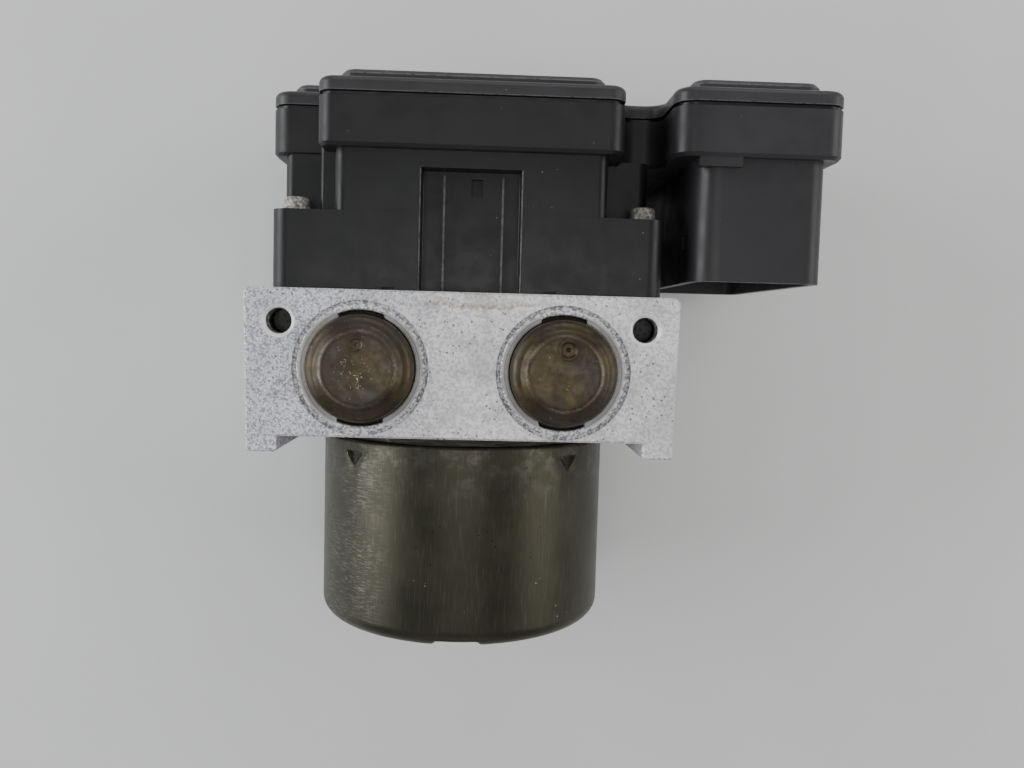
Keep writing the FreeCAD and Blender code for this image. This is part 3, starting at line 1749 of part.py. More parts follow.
def brush_holder():
    holder_end = holder_start + holder_thickness
    plate = motor_tube(holder_radius, holder_inner, holder_start, holder_end)
    pieces = []
    cuts = []
    for side in (-1, 1):
        pieces.append(brush_box(side, loose_gap + brush_wall, holder_inner, brush_box_end))
        cuts.append(brush_box(side, loose_gap, holder_inner - brush_box_mouth, brush_box_end - brush_wall))
    tower_end = unit_face + tower_rise
    pieces.append(cyl_y(tower_radius, motor_face - holder_end, tower_end, 0, tower_height))
    for x in (-contact_spacing / 2, contact_spacing / 2):
        half = contact_width / 2 + seat_gap
        side = contact_thickness / 2 + seat_gap
        low, high = motor_face - holder_end - 1, tower_end + 1
        cuts.append(box(x - half, x + half, low, high, tower_height - side, tower_height + side))
    return merge(plate, *pieces).cut(cuts)


def brushes():
    middle, inner, outer = brush_levels()
    drum = motor_tube(inner, front_journal_radius, middle - brush_thickness, middle + brush_thickness)
    blocks = []
    for side in (-1, 1):
        block = brush_box(side, 0, commutator_radius - 1, outer)
        blocks.append(block.cut(drum))
    return Part.makeCompound(blocks)


def brush_springs():
    middle, inner, outer = brush_levels()
    end = brush_box_end - brush_wall - free_gap / 2
    level = motor_face - middle
    first = Vec(outer + free_gap / 2, level, motor_axis_height)
    last = Vec(end, level, motor_axis_height)
    spring = coil_spring(brush_spring_radius, brush_spring_wire, brush_spring_turns, first, last, X_AXIS)
    return Part.makeCompound([upright(spring.mirror(Vec(0, 0, 0), X_AXIS)), spring])


def motor_contact_pins():
    low = motor_face - holder_start - holder_thickness
    high = board_top + pin_tail
    half = contact_width / 2
    side = contact_thickness / 2
    pins = []
    for x in (-contact_spacing / 2, contact_spacing / 2):
        pins.append(box(x - half, x + half, low, high, tower_height - side, tower_height + side))
    return Part.makeCompound(pins)


def motor_screws():
    seat = unit_face - motor_screw_sink
    foot = motor_face - motor_screw_reach
    screws = []
    for x, z in motor_screw_places():
        screws.append(
            screw(
                x, z, foot, seat, motor_screw_radius, motor_screw_head_radius,
                motor_screw_head_height, motor_drive_half_width, motor_drive_depth,
            )
        )
    return Part.makeCompound(screws)


# Every piece by its name
nodes = {
    "valve_block": valve_block(),
    "channel_ball_plugs": channel_ball_plugs(),
    "control_unit_housing": control_unit_housing(),
    "control_unit_cover": control_unit_cover(),
    "control_unit_gasket": control_unit_gasket(),
    "control_unit_screws": control_unit_screws(),
    "circuit_board": circuit_board(),
    "processor_chip": processor_chip(),
    "driver_chips": driver_chips(),
    "board_capacitors": board_capacitors(),
    "board_choke": board_choke(),
    "connector_pin_carrier": connector_pin_carrier(),
    "connector_pins": connector_pins(),
    "power_blades": power_blades(),
    "valve_coils": valve_coils(),
    "coil_yokes": coil_yokes(),
    "coil_leads": coil_leads(),
    "inlet_valve_bodies": Part.makeCompound([valve_body(x, inlet_row_height) for x in valve_columns]),
    "outlet_valve_bodies": Part.makeCompound([valve_body(x, outlet_row_height) for x in valve_columns]),
    "motor_housing": motor_housing(),
    "motor_end_plate": motor_end_plate(),
    "motor_seal_ring": motor_seal_ring(),
    "motor_screws": motor_screws(),
    "motor_magnets": motor_magnets(),
    "motor_contact_pins": motor_contact_pins(),
    "brush_holder": brush_holder(),
    "brushes": brushes(),
    "brush_springs": brush_springs(),
    "front_bearing": bearing(front_journal_radius + running_gap, front_bearing_start()),
    "rear_bearing": bearing(rear_journal_radius + running_gap, rear_bearing_start()),
    "pilot_bearing": pilot_bearing(),
    "motor_shaft": motor_shaft(),
    "eccentric_bearing": eccentric_bearing(),
    "armature_core": armature_core(),
    "armature_windings": armature_windings(),
    "commutator": commutator(),
}
for number, column in enumerate(valve_columns, start=1):
    nodes["inlet_plunger_%d" % number] = valve_plunger(column, inlet_row_height, True)
    nodes["outlet_plunger_%d" % number] = valve_plunger(column, outlet_row_height, False)
for name, side in (("left", -1), ("right", 1)):
    place = side * accumulator_spacing / 2
    nodes["accumulator_cap_" + name] = accumulator_cap(place)
    nodes["accumulator_piston_" + name] = accumulator_piston(place)
    nodes["accumulator_seal_" + name] = accumulator_seal(place)
    nodes["accumulator_spring_" + name] = accumulator_spring(place)
    nodes["pump_plug_" + name] = pump_plug(side)
    nodes["pump_cylinder_" + name] = pump_cylinder(side)
    nodes["pump_piston_" + name] = pump_piston(side)
    nodes["pump_spring_" + name] = pump_spring(side)

for name, shape in nodes.items():
    shape.exportStep("parts/%s.step" % name)
print(len(nodes), "nodes written")
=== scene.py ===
import contextlib
import json
import math

import bmesh
import bpy
from mathutils import Matrix, Vector


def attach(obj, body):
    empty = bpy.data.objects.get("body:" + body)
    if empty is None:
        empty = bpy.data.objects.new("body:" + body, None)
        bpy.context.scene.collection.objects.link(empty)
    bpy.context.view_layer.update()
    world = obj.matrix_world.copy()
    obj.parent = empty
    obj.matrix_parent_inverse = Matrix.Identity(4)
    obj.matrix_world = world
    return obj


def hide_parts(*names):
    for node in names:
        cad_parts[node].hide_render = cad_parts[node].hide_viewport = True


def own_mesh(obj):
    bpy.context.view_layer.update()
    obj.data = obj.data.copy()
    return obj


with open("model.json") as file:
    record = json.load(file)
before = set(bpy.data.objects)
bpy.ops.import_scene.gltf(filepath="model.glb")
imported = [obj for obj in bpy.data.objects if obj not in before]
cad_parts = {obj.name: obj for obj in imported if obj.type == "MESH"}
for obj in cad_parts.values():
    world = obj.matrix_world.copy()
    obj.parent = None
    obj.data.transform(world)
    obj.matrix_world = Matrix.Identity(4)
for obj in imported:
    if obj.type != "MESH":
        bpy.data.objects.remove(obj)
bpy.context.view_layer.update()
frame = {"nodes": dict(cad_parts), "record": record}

bl_info = {
    "name": "Brake module",
    "version": (1, 0, 0),
    "blender": (4, 5, 0),
    "location": "View3D > Sidebar > Brake module",
    "description": "Dresses the valve block, pump motor and control unit of an anti-lock brake module",
    "category": "Add Mesh",
}

# Places and sizes of the CAD model, in millimetres
MM = 0.001
MOTOR_FACE = -17.0
MOTOR_AXIS = 40.0
BLOCK_TOP = 80.0
CAN_RADIUS = 37.5
CAN_END = 50.5
CAP_PLACES = ((-23.3, -1.0), (23.3, -1.0))
MOUNTING_PLACES = ((-42.0, 9.4), (42.0, 9.4))
SCREW_PLACES = tuple((0.9 + side * 41.3, 35.2, z) for side in (-1, 1) for z in (11.4, 68.6))
WHEEL_PORTS = tuple((x, -6.0, 1.2) for x in (-24, -8, 8, 24))
MASTER_PORTS = tuple((x, -6.0, 1.2) for x in (-40, 40))
THREAD_START = 72.3
# Rubbed corners and ridges of the unit's recess, which get painted highlights: each one's place across, and
# the height that it starts at
RECESS_EDGES = ((-10.6, 75.0), (-5.4, 70.1), (8.5, 70.1), (12.7, 75.0))
# Painted shade in the parting groove between housing and cover: where it starts, is full, is still full and
# ends, along Y
PARTING_GROOVE = (60.68, 60.80, 61.68, 61.80)
# For each kind of spring: its axis, the seat at its fixed end on the right-hand side, and the piston's stroke
SPRINGS = (
    ("pump", (1, 0, 0), (35.45, 0.0, 0.0), 2.0),
    ("accumulator", (0, 0, 1), (0.0, 0.0, 83.1), 6.5),
)

# Segments round the pieces that have no setting of their own
CUTTER_SEGMENTS = 180
PLATE_SEGMENTS = 240
SCREW_SEGMENTS = 48

# Faces that turn less than FLAT_ANGLE, in degrees, are one face; edges over EDGE_ANGLE are broken
FLAT_ANGLE = 0.6
EDGE_ANGLE = 32.0

# Camera, in metres: the direction it looks in and how far the module leans in the photograph, in degrees
CAMERA_PLACE = (0.005, 0.00967, 0.280)
CAMERA_AHEAD = (0.0327, -0.0669, -1.0)
CAMERA_LEAN = 1.45
CAMERA_LENS = 30.66


# Sizes and colours that a user would change
def colour(name, words, default):
    return bpy.props.FloatVectorProperty(
        name=name, description=words, default=default, subtype="COLOR", size=3, min=0.0, max=1.0
    )


def length(name, words, default):
    return bpy.props.FloatProperty(
        name=name, description=words, default=default, unit="LENGTH", subtype="DISTANCE", min=0.0, precision=5
    )


def power(name, words, default):
    return bpy.props.FloatProperty(name=name, description=words, default=default, min=0.0, unit="POWER")


def count(name, words, default):
    return bpy.props.IntProperty(name=name, description=words, default=default, min=1)


class BlockLook(bpy.types.PropertyGroup):
    """Finish of the valve block and its staked rims."""

    face: colour("Face", "Colour of the blasted faces", (0.83, 0.83, 0.82))
    grey: colour("Grey patches", "Colour of the rougher patches", (0.33, 0.33, 0.36))
    stain: colour("Stain", "Colour of the old brake fluid stain", (0.30, 0.20, 0.13))
    edge_break: length("Edge break", "Width of the broken edges", 0.00045)
    rim_segments: count("Rim segments", "Segments round each staked rim", 360)
    rim_sweep: bpy.props.FloatProperty(
        name="Staked sweep", description="Angle that each staked arc covers", default=math.radians(135.0),
        subtype="ANGLE",
    )
    thread_pitch: length("Thread pitch", "Pitch of the mounting threads", 0.001)
    port_pitch: length("Port pitch", "Pitch of the port threads", 0.001)


class CapLook(bpy.types.PropertyGroup):
    """Finish and fine shape of the accumulator caps."""

    steel: colour("Steel", "Colour of the passivated steel", (0.054, 0.044, 0.029))
    tint: colour("Tint", "Colour of the olive blotches", (0.078, 0.060, 0.032))
    dish_radius: length("Dish radius", "Radius of the small coined dish", 0.0017)
    dish_depth: length("Dish depth", "Depth of the small coined dish", 0.0004)
    segments: count("Segments", "Segments round each cap", 192)


class MotorLook(bpy.types.PropertyGroup):
    """Finish and fine shape of the drawn motor can."""

    steel: colour("Steel", "Colour of the phosphated steel", (0.042, 0.040, 0.027))
    # The worn colour also paints the reflection band along the can's upper left side
    worn: colour("Worn steel", "Colour where the coating is rubbed", (0.20, 0.195, 0.175))
    mark_width: length("Mark width", "Width of each stake mark", 0.0065)
    mark_length: length("Mark length", "Length of each stake mark", 0.0042)
    mark_depth: length("Mark depth", "Depth of each stake mark", 0.0011)
    mark_start: length("Mark start", "Distance of the marks from the block", 0.0052)
    segments: count("Segments", "Segments round the can", 720)


class UnitLook(bpy.types.PropertyGroup):
    """Finish of the control unit."""

    plastic: colour("Housing", "Colour of the housing plastic", (0.0085, 0.0087, 0.0095))
    cover: colour("Cover", "Colour of the cover plastic", (0.030, 0.030, 0.031))
    dust: colour("Dust", "Colour of the dust and scuffs", (0.10, 0.095, 0.085))
    edge_round: length("Edge round", "Width of the rounded moulding edges", 0.0005)
    screw_steel: colour("Screws", "Colour of the corroded screws", (0.55, 0.53, 0.49))
    contact_tin: colour("Contacts", "Colour of the tinned contacts", (0.62, 0.58, 0.47))


class StageLook(bpy.types.PropertyGroup):
    """Floor and lights."""

    floor: colour("Floor", "Colour of the pale floor", (0.80, 0.80, 0.79))
    overhead: power("Overhead light", "Power of the overhead light", 1.5)
    sides: power("Side lights", "Power of the left light, which the right, back and front ones follow", 6.6)


# Node trees
class Nodes:
    """Short names for the nodes of one tree."""

    def __init__(self, tree):
        self.tree = tree

    def add(self, kind, values=None, **settings):
        """A node with its settings; values are sockets or numbers by the input's name or number."""
        node = self.tree.nodes.new(kind)
        for name, value in settings.items():
            setattr(node, name, value)
        for key, value in (values or {}).items():
            if isinstance(value, bpy.types.NodeSocket):
                self.tree.links.new(value, node.inputs[key])
            else:
                node.inputs[key].default_value = value
        return node

    def calc(self, operation, first, second=0.0, third=0.0):
        return self.add("ShaderNodeMath", {0: first, 1: second, 2: third}, operation=operation).outputs[0]

    def plus(self, first, second):
        return self.calc("ADD", first, second)

    def minus(self, first, second):
        return self.calc("SUBTRACT", first, second)

    def times(self, first, *others):
        for other in others:
            first = self.calc("MULTIPLY", first, other)
        return first

    def size(self, value):
        return self.calc("ABSOLUTE", value)

    def span(self, source, low, high, start=0.0, end=1.0):
        """Goes smoothly from start, where the source is low, to end, where it is high."""
        values = {"Value": source, 1: low, 2: high, 3: start, 4: end}
        node = self.add("ShaderNodeMapRange", values, interpolation_type="SMOOTHSTEP")
        return node.outputs["Result"]

    def ring(self, source, foot, top, top_end, foot_end):
        """Rises from foot to top and falls from top_end to foot_end."""
        return self.times(self.span(source, foot, top), self.span(source, foot_end, top_end))

    def vector(self, operation, values, output=0):
        return self.add("ShaderNodeVectorMath", values, operation=operation).outputs[output]


class Finish(Nodes):
    """A material on object coordinates, in metres, with one shader and a base that is painted in layers."""

    def __init__(self, name):
        self.material = bpy.data.materials.new(name)
        self.material.use_nodes = True
        super().__init__(self.material.node_tree)
        self.shader = self.tree.nodes["Principled BSDF"]
        self.place = self.add("ShaderNodeTexCoord").outputs["Object"]
        self.base = None

    def at(self, centre=(0, 0, 0), stretch=(1, 1, 1)):
        values = {"Vector": self.place, "Location": centre, "Scale": stretch}
        return self.add("ShaderNodeMapping", values).outputs["Vector"]

    def noise(self, size, detail=2.0, roughness=0.5, place=None, distortion=0.0):
        """size is in millimetres."""
        values = {
            "Vector": place or self.place, "Scale": 1 / (size * MM), "Detail": detail,
            "Roughness": roughness, "Distortion": distortion,
        }
        return self.add("ShaderNodeTexNoise", values).outputs["Fac"]

    def cells(self, size, place=None):
        values = {"Vector": place or self.place, "Scale": 1 / (size * MM)}
        return self.add("ShaderNodeTexVoronoi", values, feature="F1").outputs["Distance"]

    def flecks(self, size, edge, core, zone, place=None):
        """Small round spots inside the zone, full within core of their middle and gone at edge."""
        return self.times(self.span(self.cells(size, place), edge, core), zone)

    def waves(self, size, direction, **more):
        values = {"Vector": self.place, "Scale": 1 / (size * MM), **more}
        return self.add("ShaderNodeTexWave", values, bands_direction=direction).outputs["Fac"]

    def mix(self, factor, first, second):
        node = self.add("ShaderNodeMix", data_type="RGBA", blend_type="MIX")
        for socket, value in zip((node.inputs[0], node.inputs[6], node.inputs[7]), (factor, first, second)):
            if isinstance(value, bpy.types.NodeSocket):
                self.tree.links.new(value, socket)
            elif hasattr(value, "__len__"):
                socket.default_value = (*value[:3], 1.0)
            else:
                socket.default_value = value
        return node.outputs[2]

    def paint(self, mask, colour, strength=None):
        if strength is not None:
            mask = self.times(mask, strength)
        self.base = self.mix(mask, self.base, colour)

    def bump(self, height, depth, strength=1.0, under=None):
        """depth is in millimetres."""
        values = {"Height": height, "Distance": depth * MM, "Strength": strength}
        if under is not None:
            values["Normal"] = under
        return self.add("ShaderNodeBump", values).outputs["Normal"]

    def axis(self, letter):
        return self.add("ShaderNodeSeparateXYZ", {0: self.place}).outputs[letter]

    def radius(self, centre, axes=(1, 1, 0)):
        """Distance from a line along the axis whose entry is zero."""
        place = self.at(tuple(-c * MM * a for c, a in zip(centre, axes)), axes)
        return self.vector("LENGTH", {0: place}, "Value")

    def nearest(self, places):
        """Distance from the nearer of two upright lines."""
        return self.calc("MINIMUM", *[self.radius((*place, 0)) for place in places])

    def attribute(self, name):
        return self.add("ShaderNodeAttribute", attribute_name=name).outputs["Fac"]

    def finish(self, roughness, metallic=0.0, normal=None, specular=0.5):
        for name, value in (("Base Color", self.base), ("Roughness", roughness), ("Normal", normal)):
            if isinstance(value, bpy.types.NodeSocket):
                self.tree.links.new(value, self.shader.inputs[name])
            elif value is not None:
                self.shader.inputs[name].default_value = value
        self.shader.inputs["Metallic"].default_value = metallic
        self.shader.inputs["Specular IOR Level"].default_value = specular
        return self.material


# Materials
def blasted_aluminium():
    look = bpy.context.scene.brake_block
    m = Finish("blasted_aluminium")
    leftness = m.span(m.axis("X"), -0.046, 0.012, 1.0, 0.0)
    grain = m.noise(0.75, 1.0)
    fine = m.noise(0.46, 0.0)
    patches = m.noise(9.0, 4.0, 0.6)
    shade = m.mix(m.span(leftness, 0.0, 1.0, 0.45, 1.0), look.face, look.grey)
    m.base = m.mix(m.span(grain, 0.40, 0.56), shade, look.face)
    m.paint(leftness, (0.42, 0.41, 0.56), 0.34)
    # Painted glints: fine near-white specks that stand in for sparkle, stronger towards the left
    m.paint(m.times(m.span(fine, 0.57, 0.66), m.span(leftness, 0.0, 1.0, 0.2, 0.9)), (0.95, 0.95, 0.99))
    m.paint(m.span(patches, 0.42, 0.68), look.grey, 0.28)
    pits = m.flecks(1.3, 0.22, 0.12, m.span(m.noise(7.0, 2.0), 0.44, 0.56))
    m.paint(pits, (0.05, 0.045, 0.04), 0.8)
    grime = m.times(m.span(m.noise(1.2, 3.0, 0.7), 0.55, 0.68), m.span(m.noise(13.0, 1.0), 0.54, 0.62))
    m.paint(grime, (0.12, 0.11, 0.10), 0.42)
    # The stain is a long flat arc above the middle of the seen face, with a brown haze over it
    wobble = m.calc("MULTIPLY_ADD", m.noise(3.0, 2.0), 0.003, m.radius((4.0, 105.0, 0)))
    off_middle = m.size(m.minus(m.axis("X"), 0.004))
    face_only = m.span(m.axis("Z"), 0.0793, 0.0796)
    line = m.ring(wobble, 0.0916, 0.0928, 0.0930, 0.0936)
    line = m.times(line, m.span(off_middle, 0.018, 0.009), face_only)
    m.paint(m.times(line, m.span(m.noise(0.8, 3.0), 0.3, 0.6)), look.stain, 0.7)
    haze = m.times(m.span(wobble, 0.0932, 0.0926), m.span(off_middle, 0.014, 0.004), face_only)
    m.paint(m.times(haze, m.span(m.noise(2.0, 4.0, 0.7), 0.40, 0.65)), (0.52, 0.46, 0.38), 0.45)
    # Bevel faces painted near white: worn chamfers together with a painted highlight along the edges
    edge_wear_and_highlight = m.attribute("edge")
    m.paint(m.span(edge_wear_and_highlight, 0.2, 0.9, 0.0, 0.85), (0.95, 0.95, 0.96))
    hole = m.nearest(MOUNTING_PLACES)
    # Painted shade on the walls of the mounting holes, below their mouths
    m.paint(m.times(m.span(hole, 0.0034, 0.0031), m.span(m.axis("Z"), 0.0795, 0.0780)), (0.05, 0.05, 0.047))
    # Painted highlight on the machined countersink round each mounting hole
    m.paint(m.ring(hole, 0.0029, 0.0031, 0.0036, 0.0039), (0.95, 0.95, 0.95), 0.8)
    normal = m.bump(m.calc("MULTIPLY_ADD", fine, 0.6, grain), 0.09, 0.6)
    normal = m.bump(pits, -0.15, 0.6, normal)
    rough = m.minus(m.span(patches, 0.3, 0.7, 0.42, 0.55), m.times(edge_wear_and_highlight, 0.12))
    return m.finish(rough, 0.35, normal)


def staked_metal():
    """Bright smeared metal of the staked arcs, with a dark speckled groove round it and painted shade in the
    gap along the cap.
    """
    look = bpy.context.scene.brake_block
    m = Finish("staked_metal")
    reach = m.nearest(CAP_PLACES)
    grain = m.noise(0.65, 1.0)
    m.base = m.mix(m.span(grain, 0.38, 0.60), look.grey, look.face)
    dark = m.mix(m.span(grain, 0.40, 0.60), (0.14, 0.14, 0.15), (0.62, 0.62, 0.64))
    uneven = m.span(m.noise(10.0, 2.0), 0.38, 0.62, 0.25, 0.85)
    m.paint(m.times(m.ring(reach, 0.01435, 0.0147, 0.01535, 0.01580), uneven), dark, 0.8)
    smeared = m.attribute("staked")
    bright = m.mix(m.span(m.noise(1.4, 3.0), 0.35, 0.7), (0.97, 0.97, 0.96), (0.86, 0.85, 0.83))
    inner = m.times(smeared, m.span(reach, 0.01435, 0.0139))
    m.paint(inner, bright)
    # Painted shade in the gap between the unstaked rim and the cap
    m.paint(m.times(m.span(reach, 0.0135, 0.0133), m.span(smeared, 0.6, 0.3)), (0.06, 0.05, 0.04), 0.7)
    seam = m.ring(reach, 0.01335, 0.01348, 0.01358, 0.01375)
    m.paint(m.times(seam, smeared), (0.30, 0.30, 0.30), 0.5)
    rough = m.minus(0.48, m.times(inner, 0.14))
    return m.finish(rough, 0.2, m.bump(grain, 0.07, 0.5))


def passivated_steel():
    look = bpy.context.scene.brake_cap
    m = Finish("passivated_steel")
    specks = m.noise(0.5, 3.0, 0.7)
    m.base = m.mix(m.span(m.noise(5.5, 4.0, 0.6, distortion=0.6), 0.36, 0.64), look.steel, look.tint)
    m.paint(m.span(m.noise(12.0, 2.0), 0.42, 0.68), (0.066, 0.055, 0.050))
    m.paint(m.span(m.noise(3.0, 3.0, 0.7), 0.52, 0.72), (0.030, 0.023, 0.014), 0.6)
    chips = m.flecks(1.1, 0.13, 0.06, m.span(m.noise(5.0, 1.0), 0.54, 0.62))
    m.paint(chips, (0.40, 0.36, 0.29), 0.8)
    # Fine scratches near the middle of the left cap
    strokes = m.size(m.minus(m.noise(3.4, 2.0, 0.6, distortion=1.2), 0.5))
    near = m.span(m.radius((-23.9, -2.0, 0)), 0.0052, 0.0030)
    strokes = m.times(m.span(strokes, 0.010, 0.004), m.times(near, m.span(specks, 0.50, 0.58)))
    m.paint(strokes, (0.62, 0.57, 0.46))
    # Painted shade: the steep skirt and lower shoulder, below the top, are darker
    m.paint(m.span(m.axis("Z"), 0.0826, 0.0800), (0.040, 0.034, 0.018), 0.45)
    # Painted highlight on the coined ridge, in broken arcs
    edge = m.times(m.attribute("ridge"), m.span(specks, 0.30, 0.62, 0.05, 0.5))
    m.paint(m.times(edge, m.span(m.noise(8.0, 1.0), 0.42, 0.60, 0.25, 1.0)), (0.26, 0.23, 0.17))
    normal = m.bump(specks, 0.03, 0.45)
    normal = m.bump(m.noise(2.2, 2.0), 0.10, 0.4, normal)
    normal = m.bump(m.plus(chips, strokes), 0.05, 0.5, normal)
    return m.finish(m.span(m.noise(2.4, 3.0, 0.6), 0.3, 0.7, 0.36, 0.52), 0.75, normal)


def drawn_steel():
    """Dark phosphated steel of the motor can, drawn along its axis."""
    look = bpy.context.scene.brake_motor
    m = Finish("drawn_steel")
    along = m.noise(0.35, 2.0, 0.6, m.at(stretch=(1, 0.06, 1)))
    across = m.noise(0.3, 2.0, 0.6, m.at(stretch=(0.12, 1, 0.12)))
    patches = m.noise(14.0, 4.0, 0.55)
    m.base = m.mix(m.span(patches, 0.35, 0.68), look.steel, [c * 1.25 for c in look.steel])
    m.paint(m.span(m.noise(10.0, 3.0, 0.6), 0.55, 0.78, 0.0, 0.5), (0.075, 0.062, 0.040))
    m.paint(m.span(along, 0.5, 0.75, 0.0, 0.12), look.worn)
    rubbed = m.times(m.span(m.noise(4.0, 3.0, 0.7), 0.44, 0.70), m.span(m.axis("Y"), -0.036, -0.0205))
    m.paint(rubbed, look.worn, 0.22)
    # Scuffs in a band along the can's upper left side, which is also a painted reflection band
    scuff_and_sheen_band = m.span(m.radius((-28.0, 0, 62.0), (1, 0, 1)), 0.019, 0.006)
    scuffs = m.times(m.span(across, 0.50, 0.64), scuff_and_sheen_band, m.span(patches, 0.3, 0.6, 0.0, 0.45))
    m.paint(scuffs, look.worn)
    dark_specks = m.flecks(2.3, 0.10, 0.05, m.span(m.noise(8.0, 1.0), 0.45, 0.6))
    m.paint(dark_specks, (0.008, 0.008, 0.006))
    light_zone = m.span(m.noise(6.0, 2.0, place=m.at((0.02, 0.01, 0.0))), 0.60, 0.68)
    light_specks = m.flecks(1.7, 0.13, 0.06, light_zone, m.at((0.003, 0.001, 0.002)))
    m.paint(light_specks, (0.34, 0.31, 0.25))
    normal = m.bump(along, 0.008, 0.4)
    normal = m.bump(m.noise(0.55, 3.0, 0.6), 0.02, 0.45, normal)
    normal = m.bump(light_specks, 0.05, 0.5, normal)
    rough = m.minus(m.span(patches, 0.3, 0.7, 0.36, 0.46), m.times(rubbed, 0.06))
    return m.finish(rough, 0.8, normal)


def plate_metal():
    m = Finish("plate_metal")
    rings = m.noise(0.5, 2.0, 0.6, m.at(stretch=(0.08, 1, 0.08)))
    m.base = m.mix(m.span(rings, 0.38, 0.66), (0.020, 0.019, 0.015), (0.060, 0.056, 0.044))
    m.paint(m.span(m.noise(1.6, 3.0, 0.7), 0.62, 0.74), (0.16, 0.15, 0.125))
    return m.finish(0.55, 0.6, m.bump(rings, 0.05, 0.6))


def moulded_plastic(name, base_colour, lines=False):
    look = bpy.context.scene.brake_unit
    m = Finish(name)
    cloud = m.noise(14.0, 3.0, 0.6)
    m.base = m.mix(m.span(cloud, 0.3, 0.75), base_colour, [c * 1.35 for c in base_colour])
    dust_zone = m.span(m.noise(11.0, 4.0, 0.65, m.at((0.01, 0.02, 0.03))), 0.54, 0.80)
    dusty = m.times(dust_zone, m.span(m.noise(0.45, 3.0, 0.75), 0.50, 0.72))
    m.paint(dusty, look.dust, 0.16)
    specks = m.flecks(3.1, 0.055, 0.03, m.span(m.noise(9.0, 1.0), 0.48, 0.6))
    m.paint(specks, (0.34, 0.32, 0.28), 0.7)
    # Painted light with some dust: the connector's side and the collar are greyer
    lit_and_dusty_side = m.plus(m.span(m.axis("X"), 0.046, 0.060, 0.0, 0.5), m.span(m.axis("Y"), 0.046, 0.052, 0.0, 0.2))
    m.paint(lit_and_dusty_side, (0.050, 0.046, 0.050))
    # Bevel faces painted lighter: scraped edges together with a painted highlight along them
    scraped_edges_and_highlights = m.times(m.attribute("edge"), m.span(m.noise(1.1, 3.0, 0.7), 0.28, 0.55))
    m.paint(scraped_edges_and_highlights, (0.17, 0.17, 0.175), 0.6)
    # Painted highlights along the recess's corners and ridges, which are also rubbed
    rubbed = 0.0
    for x, start in RECESS_EDGES:
        off = m.size(m.minus(m.axis("X"), x * MM))
        above = m.span(m.axis("Z"), (start - 0.1) * MM, (start + 0.2) * MM)
        rubbed = m.calc("MAXIMUM", rubbed, m.times(m.span(off, 0.00038, 0.00012), above))
    rubbed = m.times(rubbed, m.span(m.axis("Y"), 0.0458, 0.0452))
    m.paint(m.times(rubbed, m.span(m.noise(2.2, 3.0, 0.7), 0.30, 0.62, 0.15, 0.6)), (0.22, 0.22, 0.225))
    # Painted shade in the parting groove
    groove = m.ring(m.axis("Y"), *[y * MM for y in PARTING_GROOVE])
    m.paint(groove, (0.0012, 0.0012, 0.0012), 0.92)
    normal = m.bump(m.noise(0.5, 3.0, 0.7), 0.016, 0.5)
    if lines:
        strokes = m.noise(0.3, 1.0, 0.5, m.at(stretch=(0.06, 1, 0.06)))
        strokes = m.times(m.span(strokes, 0.45, 0.7), m.span(cloud, 0.35, 0.6))
        normal = m.bump(strokes, 0.010, 0.4, normal)
        m.paint(strokes, (0.05, 0.05, 0.053), 0.3)
    normal = m.bump(specks, 0.06, 0.5, normal)
    rough = m.calc("MULTIPLY_ADD", dusty, 0.2, m.span(m.noise(6.0, 3.0, 0.6), 0.3, 0.7, 0.34, 0.46))
    return m.finish(rough, 0.0, normal, 0.36)


def corroded_screw():
    look = bpy.context.scene.brake_unit
    m = Finish("corroded_screw")
    crust = m.noise(0.7, 4.0, 0.7)
    m.base = m.mix(m.span(crust, 0.36, 0.62), look.screw_steel, (0.16, 0.155, 0.14))
    m.paint(m.span(m.noise(0.9, 3.0), 0.55, 0.75), (0.80, 0.79, 0.76))
    m.paint(m.span(m.axis("X"), 0.0, 0.02, 0.0, 0.6), (0.10, 0.095, 0.08))
    return m.finish(m.span(crust, 0.3, 0.7, 0.42, 0.75), 0.4, m.bump(crust, 0.12, 0.7))


def turned_metal(name, bright, dark, roughness, size=0.35):
    m = Finish(name)
    lines = m.noise(size, 2.0, 0.6)
    m.base = m.mix(m.span(lines, 0.3, 0.7), dark, bright)
    m.paint(m.span(m.noise(5.0, 3.0), 0.55, 0.75), dark)
    rough = m.span(m.noise(3.0, 2.0), 0.3, 0.7, roughness - 0.05, roughness + 0.08)
    return m.finish(rough, 1.0, m.bump(lines, 0.01, 0.5))


def plain_solid(name, first, second, roughness, size=1.2):
    """Grained, not metal: rubber, board, resin, ferrite and carbon."""
    m = Finish(name)
    m.base = m.mix(m.span(m.noise(size, 3.0, 0.6), 0.3, 0.7), first, second)
    rough = m.span(m.noise(size * 3, 2.0), 0.3, 0.7, roughness - 0.06, roughness + 0.06)
    return m.finish(rough, 0.0, m.bump(m.noise(size / 3, 2.0), 0.02, 0.5))


def thread_metal():
    """Bright crests near the block's faces and painted shade on the deeper turns below them."""
    m = Finish("thread_metal")
    m.base = m.mix(m.span(m.noise(0.9, 2.0), 0.35, 0.65), (0.45, 0.45, 0.44), (0.15, 0.15, 0.14))
    height = m.axis("Z")
    # Painted shade: the turns deeper in the holes are darker
    m.paint(m.times(m.span(height, 0.0765, 0.0735), m.span(height, 0.004, 0.010)), (0.015, 0.015, 0.013))
    return m.finish(0.38, 0.7, m.bump(m.noise(0.4, 1.0), 0.02, 0.5))


def wound_copper():
    m = Finish("wound_copper")
    turns = m.waves(2.4, "Y", Distortion=0.4)
    m.base = m.mix(turns, (0.16, 0.05, 0.02), (0.62, 0.25, 0.10))
    m.paint(m.span(m.noise(3.0, 2.0), 0.5, 0.7), (0.42, 0.15, 0.06))
    return m.finish(0.34, 0.85, m.bump(turns, 0.12, 0.7))


